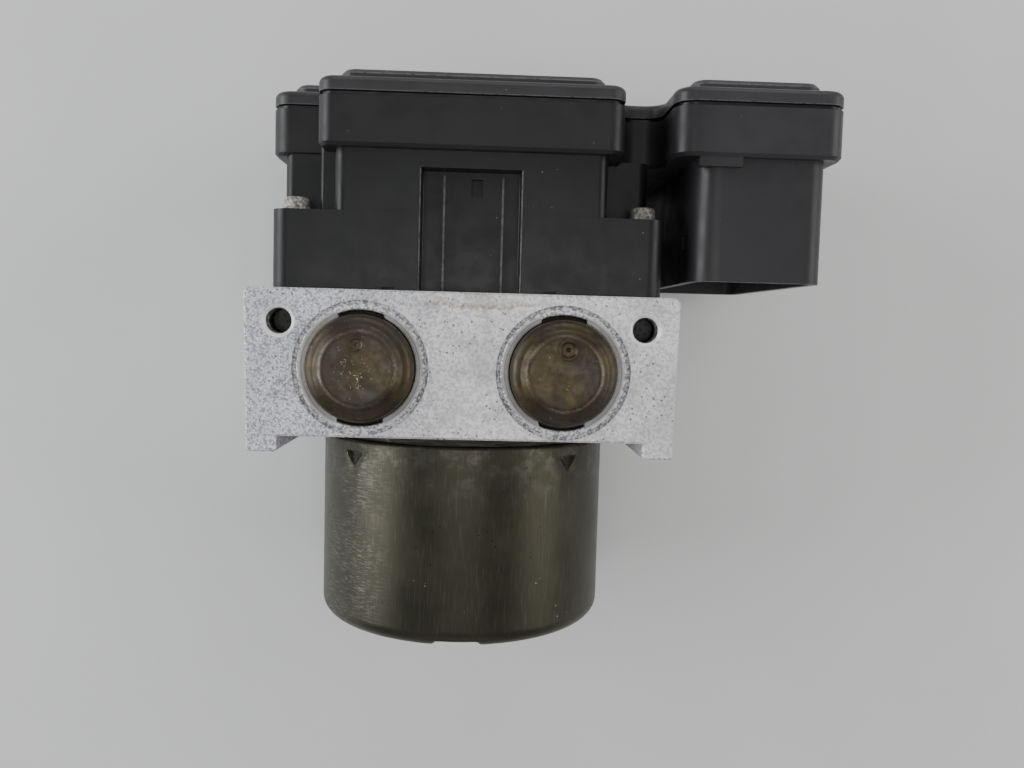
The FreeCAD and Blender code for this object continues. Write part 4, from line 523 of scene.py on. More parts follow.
def board_green():
    m = Finish("board_green")
    tracks = m.span(m.waves(9.0, "X", Distortion=5.0, Detail=2.0), 0.45, 0.55)
    m.base = m.mix(tracks, (0.012, 0.075, 0.030), (0.020, 0.115, 0.045))
    m.paint(m.span(m.noise(0.5, 1.0, 0.5, m.at(stretch=(1, 1, 0.2))), 0.5, 0.7), (0.05, 0.14, 0.07), 0.3)
    return m.finish(0.32, 0.0, m.bump(tracks, 0.03, 0.6))


def floor_paper():
    look = bpy.context.scene.brake_stage
    m = Finish("floor_paper")
    fibre = m.noise(1.5, 3.0, 0.6)
    m.base = m.mix(m.span(m.noise(60.0, 2.0), 0.3, 0.7), look.floor, [c * 0.97 for c in look.floor])
    return m.finish(m.span(fibre, 0.3, 0.7, 0.55, 0.65), 0.0, m.bump(fibre, 0.02, 0.3))


# Geometry node trees
class Growth(Nodes):
    """A geometry tree with its inputs; it ends in realised instances with their material set."""

    KINDS = {float: "NodeSocketFloat", tuple: "NodeSocketVector", type(None): "NodeSocketObject"}

    def __init__(self, name, inputs):
        super().__init__(bpy.data.node_groups.new(name, "GeometryNodeTree"))
        self.socket("Geometry", "NodeSocketGeometry")
        for label, default in inputs.items():
            socket = self.socket(label, self.KINDS[type(default)])
            if default is not None:
                socket.default_value = default
        self.socket("Material", "NodeSocketMaterial")
        self.socket("Geometry", "NodeSocketGeometry", "OUTPUT")
        self.given = self.add("NodeGroupInput").outputs

    def socket(self, label, kind, side="INPUT"):
        return self.tree.interface.new_socket(label, in_out=side, socket_type=kind)

    def position(self):
        return self.add("GeometryNodeInputPosition").outputs[0]

    def stored(self, name):
        return self.add("GeometryNodeInputNamedAttribute", {"Name": name}, data_type="FLOAT").outputs[0]

    def parts(self, vector):
        return self.add("ShaderNodeSeparateXYZ", {0: vector}).outputs

    def joined(self, x=0.0, y=0.0, z=0.0):
        return self.add("ShaderNodeCombineXYZ", {0: x, 1: y, 2: z}).outputs[0]

    def folded_angle(self, parts):
        """Angle round the upright axis, the same in all four quarters."""
        return self.calc("ARCTAN2", self.size(parts[1]), self.size(parts[0]))

    def pushed(self, parts, radial, upward):
        """An offset along the radius and one along the upright axis, together."""
        outward = self.vector("NORMALIZE", {0: self.joined(parts[0], parts[1])})
        along = self.vector("SCALE", {0: outward, "Scale": radial})
        return self.vector("ADD", {0: along, 1: self.joined(z=upward)})

    def on_points(self, instance, **more):
        values = {"Points": self.given["Geometry"], "Instance": instance, **more}
        return self.add("GeometryNodeInstanceOnPoints", values).outputs[0]

    def close(self, geometry, offset=None):
        """Moves the geometry by an offset, if there is one, and ends the tree."""
        if offset is not None:
            values = {"Geometry": geometry, "Offset": offset}
            geometry = self.add("GeometryNodeSetPosition", values).outputs[0]
        real = self.add("GeometryNodeRealizeInstances", {0: geometry}).outputs[0]
        values = {"Geometry": real, "Material": self.given["Material"]}
        done = self.add("GeometryNodeSetMaterial", values).outputs[0]
        self.add("NodeGroupOutput", {0: done})

    def run(self, name, mesh, material, sharp, values):
        """Runs the tree on a mesh and keeps its result as a plain mesh."""
        piece = shown(name, mesh)
        modifier = piece.modifiers.new("grow", "NODES")
        modifier.node_group = self.tree
        values = {**values, "Material": material}
        for item in self.tree.interface.items_tree:
            if item.item_type == "SOCKET" and item.in_out == "INPUT" and item.name in values:
                modifier[item.identifier] = values[item.name]
        return settle(piece, material, sharp)


# Meshes
def shown(name, mesh):
    piece = bpy.data.objects.new(name, mesh)
    bpy.context.scene.collection.objects.link(piece)
    return piece


def settle(piece, material, sharp, outward=True, even=False):
    """Applies a piece's modifiers as a plain mesh with smooth faces and sharp edges by angle."""
    mesh = baked(piece)
    mesh.name = piece.name
    if outward:
        merged(mesh)
    mesh.shade_smooth()
    mesh.set_sharp_from_angle(angle=math.radians(sharp))
    mesh.materials.clear()
    mesh.materials.append(material)
    for polygon in mesh.polygons:
        polygon.material_index = 0
    if even:
        weighted = piece.modifiers.new("even", "WEIGHTED_NORMAL")
        weighted.keep_sharp = True
        weighted.weight = 100
        baked(piece)
    return piece


def baked(piece):
    """Gives a piece the result of its modifiers as a plain mesh."""
    bpy.context.view_layer.update()
    graph = bpy.context.evaluated_depsgraph_get()
    mesh = bpy.data.meshes.new_from_object(piece.evaluated_get(graph), depsgraph=graph)
    piece.modifiers.clear()
    old = piece.data
    piece.data = mesh
    if old.users == 0:
        bpy.data.meshes.remove(old)
    return mesh


@contextlib.contextmanager
def opened(mesh):
    """The mesh as editable faces, written back at the end."""
    work = bmesh.new()
    work.from_mesh(mesh)
    yield work
    work.to_mesh(mesh)
    work.free()


def merged(mesh):
    """Merges doubles, then turns every face outwards."""
    with opened(mesh) as work:
        bmesh.ops.remove_doubles(work, verts=work.verts, dist=1e-7)
        bmesh.ops.recalc_face_normals(work, faces=work.faces)


def flattened(work, angle):
    """Makes neighbouring faces that turn less than the angle, in degrees, one face."""
    bmesh.ops.dissolve_limit(work, angle_limit=math.radians(angle), verts=work.verts, edges=work.edges)


def cad_copy(node, name):
    """A merged copy of a CAD node's mesh with its flat faces whole again."""
    mesh = frame["nodes"][node].data.copy()
    with opened(mesh) as work:
        bmesh.ops.remove_doubles(work, verts=work.verts, dist=2e-6)
        bmesh.ops.dissolve_degenerate(work, edges=work.edges, dist=1e-7)
        flattened(work, FLAT_ANGLE)
    mesh.materials.clear()
    for name_of in [a.name for a in mesh.attributes if a.name.startswith("sharp")]:
        mesh.attributes.remove(mesh.attributes[name_of])
    return shown(name, mesh)


def broken_edges(piece, width):
    """Bevels sharp edges and marks the new faces, for the materials' edge wear and painted edge highlights.
    """
    marker = bpy.data.materials.new("marker")
    piece.data.materials.append(marker)
    piece.data.materials.append(marker)
    bevel = piece.modifiers.new("edges", "BEVEL")
    bevel.width = width
    bevel.segments = 2
    bevel.limit_method = "ANGLE"
    bevel.angle_limit = math.radians(EDGE_ANGLE)
    bevel.use_clamp_overlap = True
    bevel.material = 1
    mesh = baked(piece)
    worn = [float(polygon.material_index == 1) for polygon in mesh.polygons]
    mesh.attributes.new("edge", "FLOAT", "FACE").data.foreach_set("value", worn)
    mesh.materials.clear()
    bpy.data.materials.remove(marker)


def moulding(node, name, plastic, width):
    """A CAD node's mesh with its moulded edges rounded, in its own plastic."""
    piece = cad_copy(node, name)
    broken_edges(piece, width)
    return settle(piece, plastic, 50.0, outward=False, even=True)


def rows(points, step):
    """The profile with points added where step(before, after) asks for a shorter run."""
    out = [points[0]]
    for before, after in zip(points, points[1:]):
        parts = max(1, math.ceil(math.dist(before[:2], after[:2]) / step(before, after)))
        for i in range(1, parts + 1):
            out.append(tuple(a + (b - a) * i / parts for a, b in zip(before, after)))
    return out


def bend(centre, radius, start, end, steps):
    """Points of an arc in a profile; angles in degrees from the outward direction."""
    points = []
    for i in range(steps + 1):
        angle = math.radians(start + (end - start) * i / steps)
        points.append((centre[0] + radius * math.cos(angle), centre[1] + radius * math.sin(angle)))
    return points


def level(height, *radii):
    """Points of a profile that share their height."""
    return [(r, height) for r in radii]


def lathe_mesh(points, segments, closed=False, extra=None):
    """A skin turned round the upright axis; extra gives values for each point of the profile."""
    verts = []
    for r, h in points:
        for i in range(segments):
            angle = 2 * math.pi * i / segments
            verts.append((r * MM * math.cos(angle), r * MM * math.sin(angle), h * MM))
    faces = []
    for j in range(len(points) if closed else len(points) - 1):
        k = (j + 1) % len(points)
        for i in range(segments):
            n = (i + 1) % segments
            faces.append((j * segments + i, j * segments + n, k * segments + n, k * segments + i))
    mesh = bpy.data.meshes.new("lathe")
    mesh.from_pydata(verts, [], faces)
    for label, values in (extra or {}).items():
        spread = [value for value in values for _ in range(segments)]
        mesh.attributes.new(label, "FLOAT", "POINT").data.foreach_set("value", spread)
    return mesh


def points_mesh(places):
    mesh = bpy.data.meshes.new("places")
    mesh.from_pydata([tuple(c * MM for c in place) for place in places], [], [])
    return mesh


def moved_by(mesh, x, y, z=0.0):
    mesh.transform(Matrix.Translation((x * MM, y * MM, z * MM)))


def onto_motor(mesh):
    """Lays a mesh made upright along the motor's axis, from the block outwards."""
    turn = Matrix.Rotation(math.radians(90), 4, "X")
    mesh.transform(Matrix.Translation((0, MOTOR_FACE * MM, MOTOR_AXIS * MM)) @ turn)


def dress(piece, body, slot, *nodes):
    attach(piece, body)
    if nodes:
        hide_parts(*nodes)


class BuildStep(bpy.types.Operator):
    """A step that builds one piece or one group of like pieces."""

    bl_idname = "brake.step"
    bl_label = "Build step"
    bl_options = {"REGISTER", "UNDO"}


class BRAKE_OT_valve_block(BuildStep):
    """Valve block with broken edges and blasted faces."""

    bl_idname = "brake.valve_block"
    bl_label = "Valve block"

    def execute(self, context):
        piece = cad_copy("valve_block", "block_body")
        seat = [(0, 75.9), (15.6, 75.9), (15.6, 81.0), (0, 81.0)]
        mouth = [(0, 79.35), (3.0, 79.35), (3.75, 80.1), (3.75, 81.0), (0, 81.0)]
        tools = [(seat, place) for place in CAP_PLACES] + [(mouth, place) for place in MOUNTING_PLACES]
        for steps, place in tools:
            cutter = shown("cutter", lathe_mesh(steps, CUTTER_SEGMENTS))
            moved_by(cutter.data, *place)
            merged(cutter.data)
            cut = piece.modifiers.new("cut", "BOOLEAN")
            cut.operation = "DIFFERENCE"
            cut.solver = "EXACT"
            cut.object = cutter
            baked(piece)
            bpy.data.objects.remove(cutter)
        with opened(piece.data) as work:
            flattened(work, 0.5)
        piece.data.materials.clear()
        broken_edges(piece, context.scene.brake_block.edge_break)
        settle(piece, blasted_aluminium(), 50.0, even=True)
        dress(piece, "module", "block_aluminium", "valve_block")
        return {"FINISHED"}


class BRAKE_OT_staked_rims(BuildStep):
    """The rims round the accumulator caps, pressed over their flanges in two arcs each."""

    bl_idname = "brake.staked_rims"
    bl_label = "Staked rims"

    def execute(self, context):
        look = context.scene.brake_block
        plain = [
            (15.6, -0.02), (15.50, -0.22), (15.3, -0.42), (14.9, -0.46), (14.65, -0.32), (14.45, -0.08),
            (14.15, -0.04), (13.9, -0.04), (13.65, -0.08), (13.45, -0.22), (13.4, -0.6), (13.4, -1.4),
            (13.4, -2.45), (13.4, -4.0), (15.6, -4.0),
        ]
        pressed = [
            (15.6, -0.02), (15.45, -0.34), (15.2, -0.62), (14.85, -0.66), (14.6, -0.42), (14.4, -0.20),
            (14.15, -0.22), (13.75, -0.42), (13.35, -0.74), (12.95, -1.1), (12.66, -1.38), (12.60, -1.58),
            (12.7, -2.45), (13.4, -4.0), (15.6, -4.0),
        ]
        more = {
            "shift_out": [(b[0] - a[0]) * MM for a, b in zip(plain, pressed)],
            "shift_up": [(b[1] - a[1]) * MM for a, b in zip(plain, pressed)],
            "ragged": [1.0 if 4 < i < 12 else 0.25 for i in range(len(plain))],
        }
        m = Growth("staked_rim", {"Sweep": 2.2, "Softness": 0.05, "Seed": 3.0})
        place = m.position()
        parts = m.parts(place)
        values = {"Vector": place, "Scale": 900.0, "Detail": 2.0, "W": m.given["Seed"]}
        ragged = m.minus(m.add("ShaderNodeTexNoise", values, noise_dimensions="4D").outputs[0], 0.5)
        half = m.plus(m.times(m.given["Sweep"], 0.5), m.times(ragged, 0.07))
        staked = m.span(m.folded_angle(parts), half, m.minus(half, m.given["Softness"]))
        jitter = m.times(ragged, m.stored("ragged"), 0.00025)
        lift = m.plus(m.times(m.stored("shift_up"), staked), jitter)
        values = {"Geometry": m.given["Geometry"], "Name": "staked", "Value": staked}
        named = m.add("GeometryNodeStoreNamedAttribute", values, data_type="FLOAT", domain="POINT")
        m.close(named.outputs[0], m.pushed(parts, m.times(m.stored("shift_out"), staked), lift))
        metal = staked_metal()
        for side, (x, y), seed in zip(("left", "right"), CAP_PLACES, (3.0, 8.0)):
            mesh = lathe_mesh(plain, look.rim_segments, closed=True, extra=more)
            values = {"Sweep": look.rim_sweep, "Seed": seed}
            piece = m.run("staked_rim_" + side, mesh, metal, 50.0, values)
            moved_by(piece.data, x, y, BLOCK_TOP)
            dress(piece, "module", "block_aluminium")
        return {"FINISHED"}


class BRAKE_OT_threads(BuildStep):
    """Thread ridges in the two mounting holes and the six ports."""

    bl_idname = "brake.threads"
    bl_label = "Threads"

    def execute(self, context):
        look = context.scene.brake_block
        m = Growth("thread", {"Radius": 0.003, "Pitch": 0.001, "Turns": 7.0})
        radius, pitch, turns = m.given["Radius"], m.given["Pitch"], m.given["Turns"]
        values = {
            "Resolution": 48, "Rotations": turns, "Start Radius": radius, "End Radius": radius,
            "Height": m.times(pitch, turns),
        }
        spiral = m.add("GeometryNodeCurveSpiral", values).outputs[0]
        values = {"Resolution": 6, "Radius": m.times(pitch, 0.40)}
        profile = m.add("GeometryNodeCurvePrimitiveCircle", values).outputs[0]
        values = {"Curve": spiral, "Profile Curve": profile, "Fill Caps": True}
        m.close(m.on_points(m.add("GeometryNodeCurveToMesh", values).outputs[0]))
        metal = thread_metal()
        mounting = [(x, y, THREAD_START) for x, y in MOUNTING_PLACES]
        wanted = (
            ("mounting_threads", mounting, {"Radius": 0.00312, "Pitch": look.thread_pitch, "Turns": 6.6}),
            ("wheel_port_threads", WHEEL_PORTS, {"Radius": 0.0051, "Pitch": look.port_pitch, "Turns": 9.5}),
            ("master_port_threads", MASTER_PORTS, {"Radius": 0.0061, "Pitch": look.port_pitch, "Turns": 9.5}),
        )
        for name, places, values in wanted:
            dress(m.run(name, points_mesh(places), metal, 60.0, values), "module", "block_aluminium")
        return {"FINISHED"}


class BRAKE_OT_accumulator_caps(BuildStep):
    """Pressed accumulator caps with their coined ridge and dish."""

    bl_idname = "brake.accumulator_caps"
    bl_label = "Accumulator caps"

    def execute(self, context):
        look = context.scene.brake_cap
        outside = [(13.25, -4.5), (13.25, -1.95), (13.1, -1.72), (12.75, -1.62), (12.5, -1.55), (12.38, -1.3)]
        outside += [(12.35, -0.8), (12.35, 0.4), (12.35, 1.1)]
        outside += bend((9.95, 1.2), 2.4, 4, 70, 12)
        outside += [(10.45, 3.60), (10.15, 3.68), (9.92, 3.80), (9.6, 4.06), (9.25, 4.36), (8.95, 4.60)]
        outside += [(8.65, 4.80), (8.35, 4.94), (8.05, 5.03), (7.7, 5.09)]
        crown = (7.3, 6.6, 5.8, 5.0, 4.0, 3.0, 2.0, 1.0, 0.4, 0.0)
        outside += [(r, 5.11 + 0.22 * (1 - (r / 7.6) ** 2)) for r in crown]
        outside = rows(outside, lambda a, b: 0.14 if min(a[1], b[1]) > 4.9 else 0.45)
        inside = [(0.0, 4.0), (8.0, 3.7), (9.6, 2.9), (10.8, 1.2), (11.0, -4.5)]
        profile = outside + inside
        ridge = [1.0 if 4.75 < h < 5.02 and r > 7.9 else 0.0 for r, h in profile]
        m = Growth("cap_dish", {"Offset": (0.0, 0.0058, 0.0), "Radius": 0.0018, "Depth": 0.0003})
        place = m.position()
        apart = m.vector("SUBTRACT", {0: place, 1: m.given["Offset"]})
        reach = m.vector("LENGTH", {0: m.vector("MULTIPLY", {0: apart, 1: (1, 1, 0)})}, "Value")
        reach = m.calc("DIVIDE", reach, m.given["Radius"])
        # The dish falls inside the radius, deeper at its pip, and stands up in a small lip round it
        drop = m.plus(m.span(reach, 1.0, 0.78), m.times(m.span(reach, 0.30, 0.10), 0.9))
        drop = m.minus(drop, m.times(m.ring(reach, 0.95, 1.12, 1.15, 1.45), 0.25))
        on_top = m.span(m.parts(place)[2], 0.0041, 0.0047)
        down = m.times(drop, on_top, m.times(m.given["Depth"], -1))
        waves = m.add("ShaderNodeTexNoise", {"Vector": place, "Scale": 190.0, "Detail": 1.0}).outputs[0]
        dents = m.times(m.minus(waves, 0.5), 0.00022, on_top)
        m.close(m.given["Geometry"], m.joined(z=m.plus(down, dents)))
        steel = passivated_steel()
        sides = (("left", -0.0003, 0.85, 0.6, CAP_PLACES[0]), ("right", 0.0006, 1.1, 1.3, CAP_PLACES[1]))
        for side, offset, scale, sunk, (x, y) in sides:
            mesh = lathe_mesh(profile, look.segments, extra={"ridge": ridge})
            values = {
                "Offset": (offset, 0.0055, 0.0), "Radius": look.dish_radius * scale,
                "Depth": look.dish_depth * sunk,
            }
            piece = m.run("cap_" + side, mesh, steel, 40.0, values)
            moved_by(piece.data, x, y, BLOCK_TOP)
            dress(piece, "module", "cap_steel", "accumulator_cap_" + side)
        return {"FINISHED"}


class BRAKE_OT_motor_can(BuildStep):
    """Deep-drawn motor can with four stake marks and two end grooves."""

    bl_idname = "brake.motor_can"
    bl_label = "Motor can"

    def execute(self, context):
        look = context.scene.brake_motor
        profile = [(35.5, 2.15), (36.9, 2.15), (37.15, 2.22), (37.4, 2.45)]
        heights = [2.8, 3.4, 4.2, 4.8] + [5.0 + 0.2 * i for i in range(26)]
        heights += [10.8, 12.0, 14, 17, 20, 24, 28, 32, 36, 40, 43, 45, 46.2]
        profile += [(CAN_RADIUS, d) for d in heights]
        profile += bend((33.5, 46.5), 4.0, 0, 90, 14) + level(CAN_END, 32.0, 30.0, 28.0, 26.0, 24.4)
        profile += [(24.05, 50.3), (23.7, 49.7)] + level(49.5, 23.2, 20.0, 16.0, 14.2)
        profile += [(13.5, 49.7), (13.15, 50.3), (13.05, 51.0), (13.05, 53.0)]
        profile += bend((12.05, 53.8), 1.0, 0, 90, 6)[1:] + level(54.8, 8.0, 4.0)
        profile += [(1.5, 54.7), (0.6, 54.3), (0.0, 54.2)] + level(52.8, 0.0, 11.05)
        profile += level(47.7, 11.05, 33.5) + [(35.5, 45.7)]
        m = Growth("can_marks", {
            "Width": 0.0065, "Length": 0.0042, "Depth": 0.0013, "Start": 0.0052,
            "Groove Floor": 0.0041, "Groove Top": 0.0061, "Groove Depth": 0.0016,
        })
        parts = m.parts(m.position())
        radius = m.vector("LENGTH", {0: m.joined(parts[0], parts[1])}, "Value")
        # Each stake mark is a triangle that is wide near the block, with a shallow dent round it
        off_middle = m.size(m.minus(m.folded_angle(parts), math.pi / 4))
        across = m.times(off_middle, CAN_RADIUS * MM)
        along = m.minus(parts[2], m.given["Start"])
        left_over = m.minus(1.0, m.calc("DIVIDE", along, m.given["Length"]))
        half = m.times(m.given["Width"], 0.5, left_over)
        inside = m.times(m.span(m.minus(half, across), 0.0, 0.0008), m.span(along, -0.0002, 0.00025))
        depth = m.times(inside, m.given["Depth"], m.calc("MAXIMUM", left_over, 0.0))
        near = m.span(m.minus(across, m.calc("MAXIMUM", half, 0.0)), 0.0022, 0.0)
        near = m.times(near, m.span(along, -0.0022, 0.0), m.span(along, 0.0068, 0.003))
        depth = m.plus(depth, m.times(near, 0.00022))
        depth = m.times(depth, m.span(radius, 0.0369, 0.0372), -1.0)
        # The two end grooves cut the raised ring down to their floor
        channel = m.span(m.size(parts[0]), m.given["Groove Top"], m.given["Groove Floor"])
        on_end = m.times(m.span(radius, 0.0239, 0.0241), m.span(parts[2], 0.0462, 0.0464))
        over = m.minus(parts[2], m.minus(CAN_END * MM, m.given["Groove Depth"]))
        cut = m.times(m.calc("MAXIMUM", over, 0.0), on_end, m.times(channel, -1.0))
        m.close(m.given["Geometry"], m.pushed(parts, depth, cut))
        values = {
            "Width": look.mark_width, "Length": look.mark_length, "Depth": look.mark_depth,
            "Start": look.mark_start,
        }
        mesh = lathe_mesh(profile, look.segments, closed=True)
        piece = m.run("motor_can", mesh, drawn_steel(), 48.0, values)
        onto_motor(piece.data)
        dress(piece, "module", "motor_steel", "motor_housing")
        return {"FINISHED"}


class BRAKE_OT_end_plate(BuildStep):
    """Rim and spigot of the motor's end plate."""

    bl_idname = "brake.end_plate"
    bl_label = "Motor end plate"

    def execute(self, context):
        profile = [
            (7.0, 0.02), (36.6, 0.02), (36.85, 0.15), (36.9, 0.4), (36.9, 1.7), (36.75, 2.0), (36.5, 2.1),
            (35.4, 2.15), (35.4, 3.2), (34.2, 3.2), (34.2, 4.6), (35.4, 4.6), (35.4, 6.0), (14.0, 6.0),
            (14.0, 9.0), (11.05, 9.0), (11.05, 1.6), (7.0, 1.6),
        ]
        piece = shown("end_plate", lathe_mesh(profile, PLATE_SEGMENTS, closed=True))
        settle(piece, plate_metal(), 40.0)
        onto_motor(piece.data)
        dress(piece, "module", "end_plate_steel", "motor_end_plate")
        return {"FINISHED"}


class BRAKE_OT_unit_housing(BuildStep):
    """Moulded control unit housing with rounded edges."""

    bl_idname = "brake.unit_housing"
    bl_label = "Control unit housing"

    def execute(self, context):
        look = context.scene.brake_unit
        plastic = moulded_plastic("unit_plastic", look.plastic)
        piece = moulding("control_unit_housing", "unit_housing", plastic, look.edge_round)
        dress(piece, "module", "unit_plastic", "control_unit_housing")
        return {"FINISHED"}


class BRAKE_OT_unit_cover(BuildStep):
    """Control unit cover with its raised fields."""

    bl_idname = "brake.unit_cover"
    bl_label = "Control unit cover"

    def execute(self, context):
        look = context.scene.brake_unit
        plastic = moulded_plastic("cover_plastic", look.cover, lines=True)
        piece = moulding("control_unit_cover", "unit_cover", plastic, look.edge_round)
        dress(piece, "module", "cover_plastic", "control_unit_cover")
        return {"FINISHED"}


class BRAKE_OT_unit_screws(BuildStep):
    """Four corroded screws that hold the control unit."""

    bl_idname = "brake.unit_screws"
    bl_label = "Control unit screws"

    def execute(self, context):
        shank = [(0.0, -26.2), (1.5, -26.2), (2.0, -25.7), (2.0, -0.02), (2.95, -0.02), (3.1, 0.15)]
        head = [(3.12, 0.8), (3.12, 2.4)] + bend((2.1, 2.45), 1.0, 5, 75, 7)
        head += [(2.0, 3.5), (1.75, 3.5), (1.6, 3.4)]
        socket = [(1.5, 3.1), (1.5, 1.8), (1.4, 1.6), (0.0, 1.4)]
        m = Growth("unit_screws", {"Screw": None, "Crust": 0.00016})
        info = m.add("GeometryNodeObjectInfo", {"Object": m.given["Screw"]}, transform_space="ORIGINAL")
        turn = m.add("FunctionNodeEulerToRotation", {0: (math.radians(-90), 0, 0)}).outputs[0]
        placed = m.on_points(info.outputs["Geometry"], Rotation=turn)
        real = m.add("GeometryNodeRealizeInstances", {0: placed}).outputs[0]
        crust = m.add("ShaderNodeTexNoise", {"Scale": 1500.0, "Detail": 3.0}).outputs[0]
        lift = m.times(m.minus(crust, 0.5), m.given["Crust"])
        normal = m.add("GeometryNodeInputNormal").outputs[0]
        m.close(real, m.vector("SCALE", {0: normal, "Scale": lift}))
        mesh = lathe_mesh(shank + head + socket, SCREW_SEGMENTS)
        # The socket's round points are moved out onto a hexagon
        for vertex in mesh.vertices[len(shank + head) * SCREW_SEGMENTS:]:
            angle = math.atan2(vertex.co.y, vertex.co.x)
            factor = 1 / math.cos((angle + math.pi / 6) % (math.pi / 3) - math.pi / 6)
            vertex.co.x *= factor
            vertex.co.y *= factor
        pattern = shown("screw_pattern", mesh)
        values = {"Screw": pattern}
        piece = m.run("unit_screws", points_mesh(SCREW_PLACES), corroded_screw(), 40.0, values)
        bpy.data.objects.remove(pattern)
        dress(piece, "module", "screw_steel", "control_unit_screws")
        return {"FINISHED"}


class BRAKE_OT_springs(BuildStep):
    """Coil springs of the pumps and accumulators, kept in their CAD shape."""

    bl_idname = "brake.springs"
    bl_label = "Springs"

    def execute(self, context):
        steel = turned_metal("coil_steel", (0.40, 0.40, 0.41), (0.22, 0.22, 0.22), 0.3)
        for kind, axis, seat, stroke in SPRINGS:
            for side, sign in (("left", -1), ("right", 1)):
                node = kind + "_spring_" + side
                piece = cad_copy(node, kind + "_coil_" + side)
                settle(piece, steel, 40.0, outward=False)
                dress(piece, "module", "spring_steel", node)
                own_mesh(piece)
        return {"FINISHED"}


class BRAKE_OT_cad_finishes(BuildStep):
    """Finishes of the pieces that keep their CAD mesh."""

    bl_idname = "brake.cad_finishes"
    bl_label = "Finishes of inner pieces"

    # Slot, its bright and its dark colour, its roughness and, where it isn't the usual one, its grain in mm
    TURNED = (
        ("ball_steel", (0.42, 0.42, 0.41), (0.20, 0.19, 0.17), 0.35),
        ("plug_steel", (0.50, 0.49, 0.46), (0.26, 0.25, 0.22), 0.36, 0.5),
        ("screw_steel", (0.45, 0.44, 0.42), (0.22, 0.21, 0.2), 0.4),
        ("capacitor_can", (0.62, 0.62, 0.64), (0.48, 0.48, 0.5), 0.25),
        ("commutator_copper", (0.62, 0.30, 0.14), (0.40, 0.17, 0.07), 0.3),
        ("yoke_steel", (0.52, 0.52, 0.5), (0.36, 0.36, 0.34), 0.35),
        ("valve_steel", (0.58, 0.58, 0.57), (0.40, 0.40, 0.40), 0.25),
        ("spring_steel", (0.40, 0.40, 0.41), (0.22, 0.22, 0.22), 0.3),
        ("shaft_steel", (0.62, 0.62, 0.62), (0.44, 0.44, 0.44), 0.18),
        ("bearing_steel", (0.56, 0.56, 0.56), (0.40, 0.40, 0.40), 0.2),
        ("core_steel", (0.34, 0.34, 0.35), (0.14, 0.14, 0.15), 0.4, 0.5),
        ("piston_aluminium", (0.66, 0.66, 0.64), (0.5, 0.5, 0.48), 0.28),
    )
    PLAIN = (
        ("carrier_plastic", (0.014, 0.014, 0.015), (0.022, 0.022, 0.023), 0.5),
        ("holder_plastic", (0.035, 0.028, 0.022), (0.05, 0.042, 0.035), 0.5),
        ("seal_rubber", (0.010, 0.010, 0.010), (0.018, 0.018, 0.018), 0.6),
        ("chip_resin", (0.012, 0.012, 0.012), (0.02, 0.02, 0.02), 0.55, 0.4),
        ("choke_ferrite", (0.04, 0.04, 0.042), (0.06, 0.06, 0.06), 0.5, 0.6),
        ("magnet_ferrite", (0.05, 0.05, 0.055), (0.075, 0.075, 0.08), 0.55),
        ("brush_carbon", (0.02, 0.02, 0.022), (0.035, 0.035, 0.037), 0.5, 0.5),
    )

    def execute(self, context):
        tin = context.scene.brake_unit.contact_tin
        finishes = {row[0]: turned_metal(*row) for row in self.TURNED}
        finishes.update({row[0]: plain_solid(*row) for row in self.PLAIN})
        finishes["contact_metal"] = turned_metal("contact_metal", tin, (0.40, 0.37, 0.29), 0.28)
        finishes["board_laminate"] = board_green()
        finishes["coil_copper"] = wound_copper()
        slot_of = {row["node"]: row["material_slot"] for row in frame["record"]["subparts"]}
        for name, node in frame["nodes"].items():
            if node.hide_render:
                continue
            material = finishes.get(slot_of[name])
            if material is None:
                raise RuntimeError(name + " has no finish")
            node.data.materials.clear()
            node.data.materials.append(material)
        return {"FINISHED"}


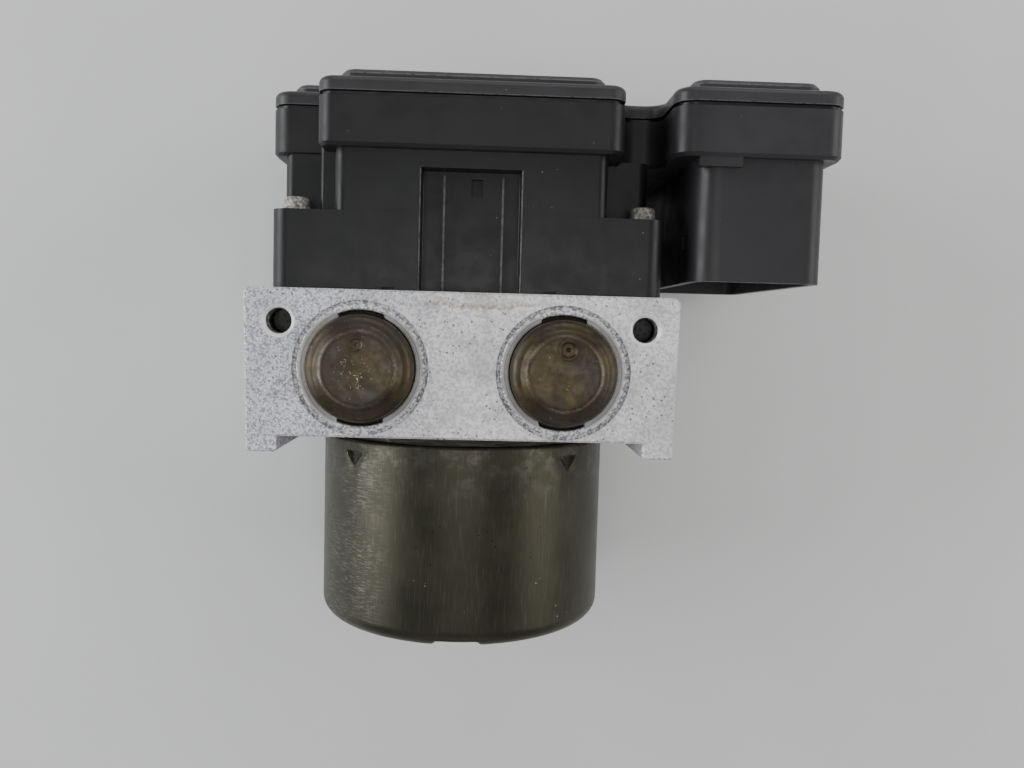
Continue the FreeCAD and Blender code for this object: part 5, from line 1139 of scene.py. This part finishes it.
class BRAKE_OT_stage(BuildStep):
    """Pale floor, soft lights and the camera above the module."""

    bl_idname = "brake.stage"
    bl_label = "Stage"

    def execute(self, context):
        look = context.scene.brake_stage
        half = 6.0
        corners = [(x * half, y * half, -0.00002) for x, y in ((-1, -1), (1, -1), (1, 1), (-1, 1))]
        mesh = bpy.data.meshes.new("floor")
        mesh.from_pydata(corners, [], [(0, 1, 2, 3)])
        mesh.materials.append(floor_paper())
        shown("floor", mesh)
        # Name, place, size, power and colour of each light
        lights = (
            ("left_side", (-0.82, 0.08, 0.36), (0.8, 0.5), look.sides, (0.96, 0.98, 1.0)),
            ("right_side", (0.80, 0.04, 0.42), (0.8, 0.5), look.sides * 0.50, (1.0, 0.98, 0.95)),
            ("back_rim", (0.15, 0.88, 0.50), (0.9, 0.4), look.sides * 0.38, (1.0, 1.0, 1.0)),
            ("front_fill", (0.0, -0.90, 0.50), (0.8, 0.4), look.sides * 0.10, (1.0, 1.0, 1.0)),
            ("overhead", (0.0, -0.04, 0.95), (0.5, 0.25), look.overhead, (1.0, 0.99, 0.97)),
        )
        target = Vector((0.0, 0.0, 0.05))
        for name, place, extent, strength, tint in lights:
            data = bpy.data.lights.new(name, "AREA")
            data.shape = "RECTANGLE"
            data.size, data.size_y = extent
            data.energy = strength
            data.color = tint
            lamp = shown(name, data)
            lamp.location = place
            lamp.rotation_euler = (target - Vector(place)).to_track_quat("-Z", "Y").to_euler()
        world = context.scene.world or bpy.data.worlds.new("studio")
        context.scene.world = world
        world.use_nodes = True
        back = world.node_tree.nodes["Background"]
        back.inputs["Color"].default_value = (0.93, 0.95, 1.0, 1.0)
        back.inputs["Strength"].default_value = 0.25
        data = bpy.data.cameras.new("camera")
        data.sensor_width = 36.0
        data.lens = CAMERA_LENS
        data.clip_start, data.clip_end = 0.01, 20.0
        camera = shown("camera", data)
        ahead = Vector(CAMERA_AHEAD).normalized()
        lean = math.radians(CAMERA_LEAN)
        right = Vector((math.cos(lean), math.sin(lean), 0.0))
        right = (right - ahead * right.dot(ahead)).normalized()
        up = right.cross(ahead)
        turn = Matrix((right, up, -ahead)).transposed().to_4x4()
        camera.matrix_world = Matrix.Translation(CAMERA_PLACE) @ turn
        context.scene.camera = camera
        return {"FINISHED"}


STEPS = (
    BRAKE_OT_valve_block,
    BRAKE_OT_staked_rims,
    BRAKE_OT_threads,
    BRAKE_OT_accumulator_caps,
    BRAKE_OT_motor_can,
    BRAKE_OT_end_plate,
    BRAKE_OT_unit_housing,
    BRAKE_OT_unit_cover,
    BRAKE_OT_unit_screws,
    BRAKE_OT_springs,
    BRAKE_OT_cad_finishes,
    BRAKE_OT_stage,
)
LOOKS = (
    (BlockLook, "brake_block"),
    (CapLook, "brake_cap"),
    (MotorLook, "brake_motor"),
    (UnitLook, "brake_unit"),
    (StageLook, "brake_stage"),
)


class BRAKE_PT_panel(bpy.types.Panel):
    """Steps and sizes of the brake module."""

    bl_idname = "BRAKE_PT_panel"
    bl_label = "Brake module"
    bl_space_type = "VIEW_3D"
    bl_region_type = "UI"
    bl_category = "Brake module"

    def draw(self, context):
        layout = self.layout
        for step in STEPS:
            layout.operator(step.bl_idname)
        for look, name in LOOKS:
            group = getattr(context.scene, name)
            column = layout.column(heading=look.__name__)
            for key in look.__annotations__:
                column.prop(group, key)


def register():
    for look, name in LOOKS:
        bpy.utils.register_class(look)
        setattr(bpy.types.Scene, name, bpy.props.PointerProperty(type=look))
    for step in STEPS:
        bpy.utils.register_class(step)
    bpy.utils.register_class(BRAKE_PT_panel)


def unregister():
    bpy.utils.unregister_class(BRAKE_PT_panel)
    for step in reversed(STEPS):
        bpy.utils.unregister_class(step)
    for look, name in reversed(LOOKS):
        delattr(bpy.types.Scene, name)
        bpy.utils.unregister_class(look)


def main():
    register()
    for step in STEPS:
        group, name = step.bl_idname.split(".")
        getattr(getattr(bpy.ops, group), name)()


if __name__ == "__main__":
    main()
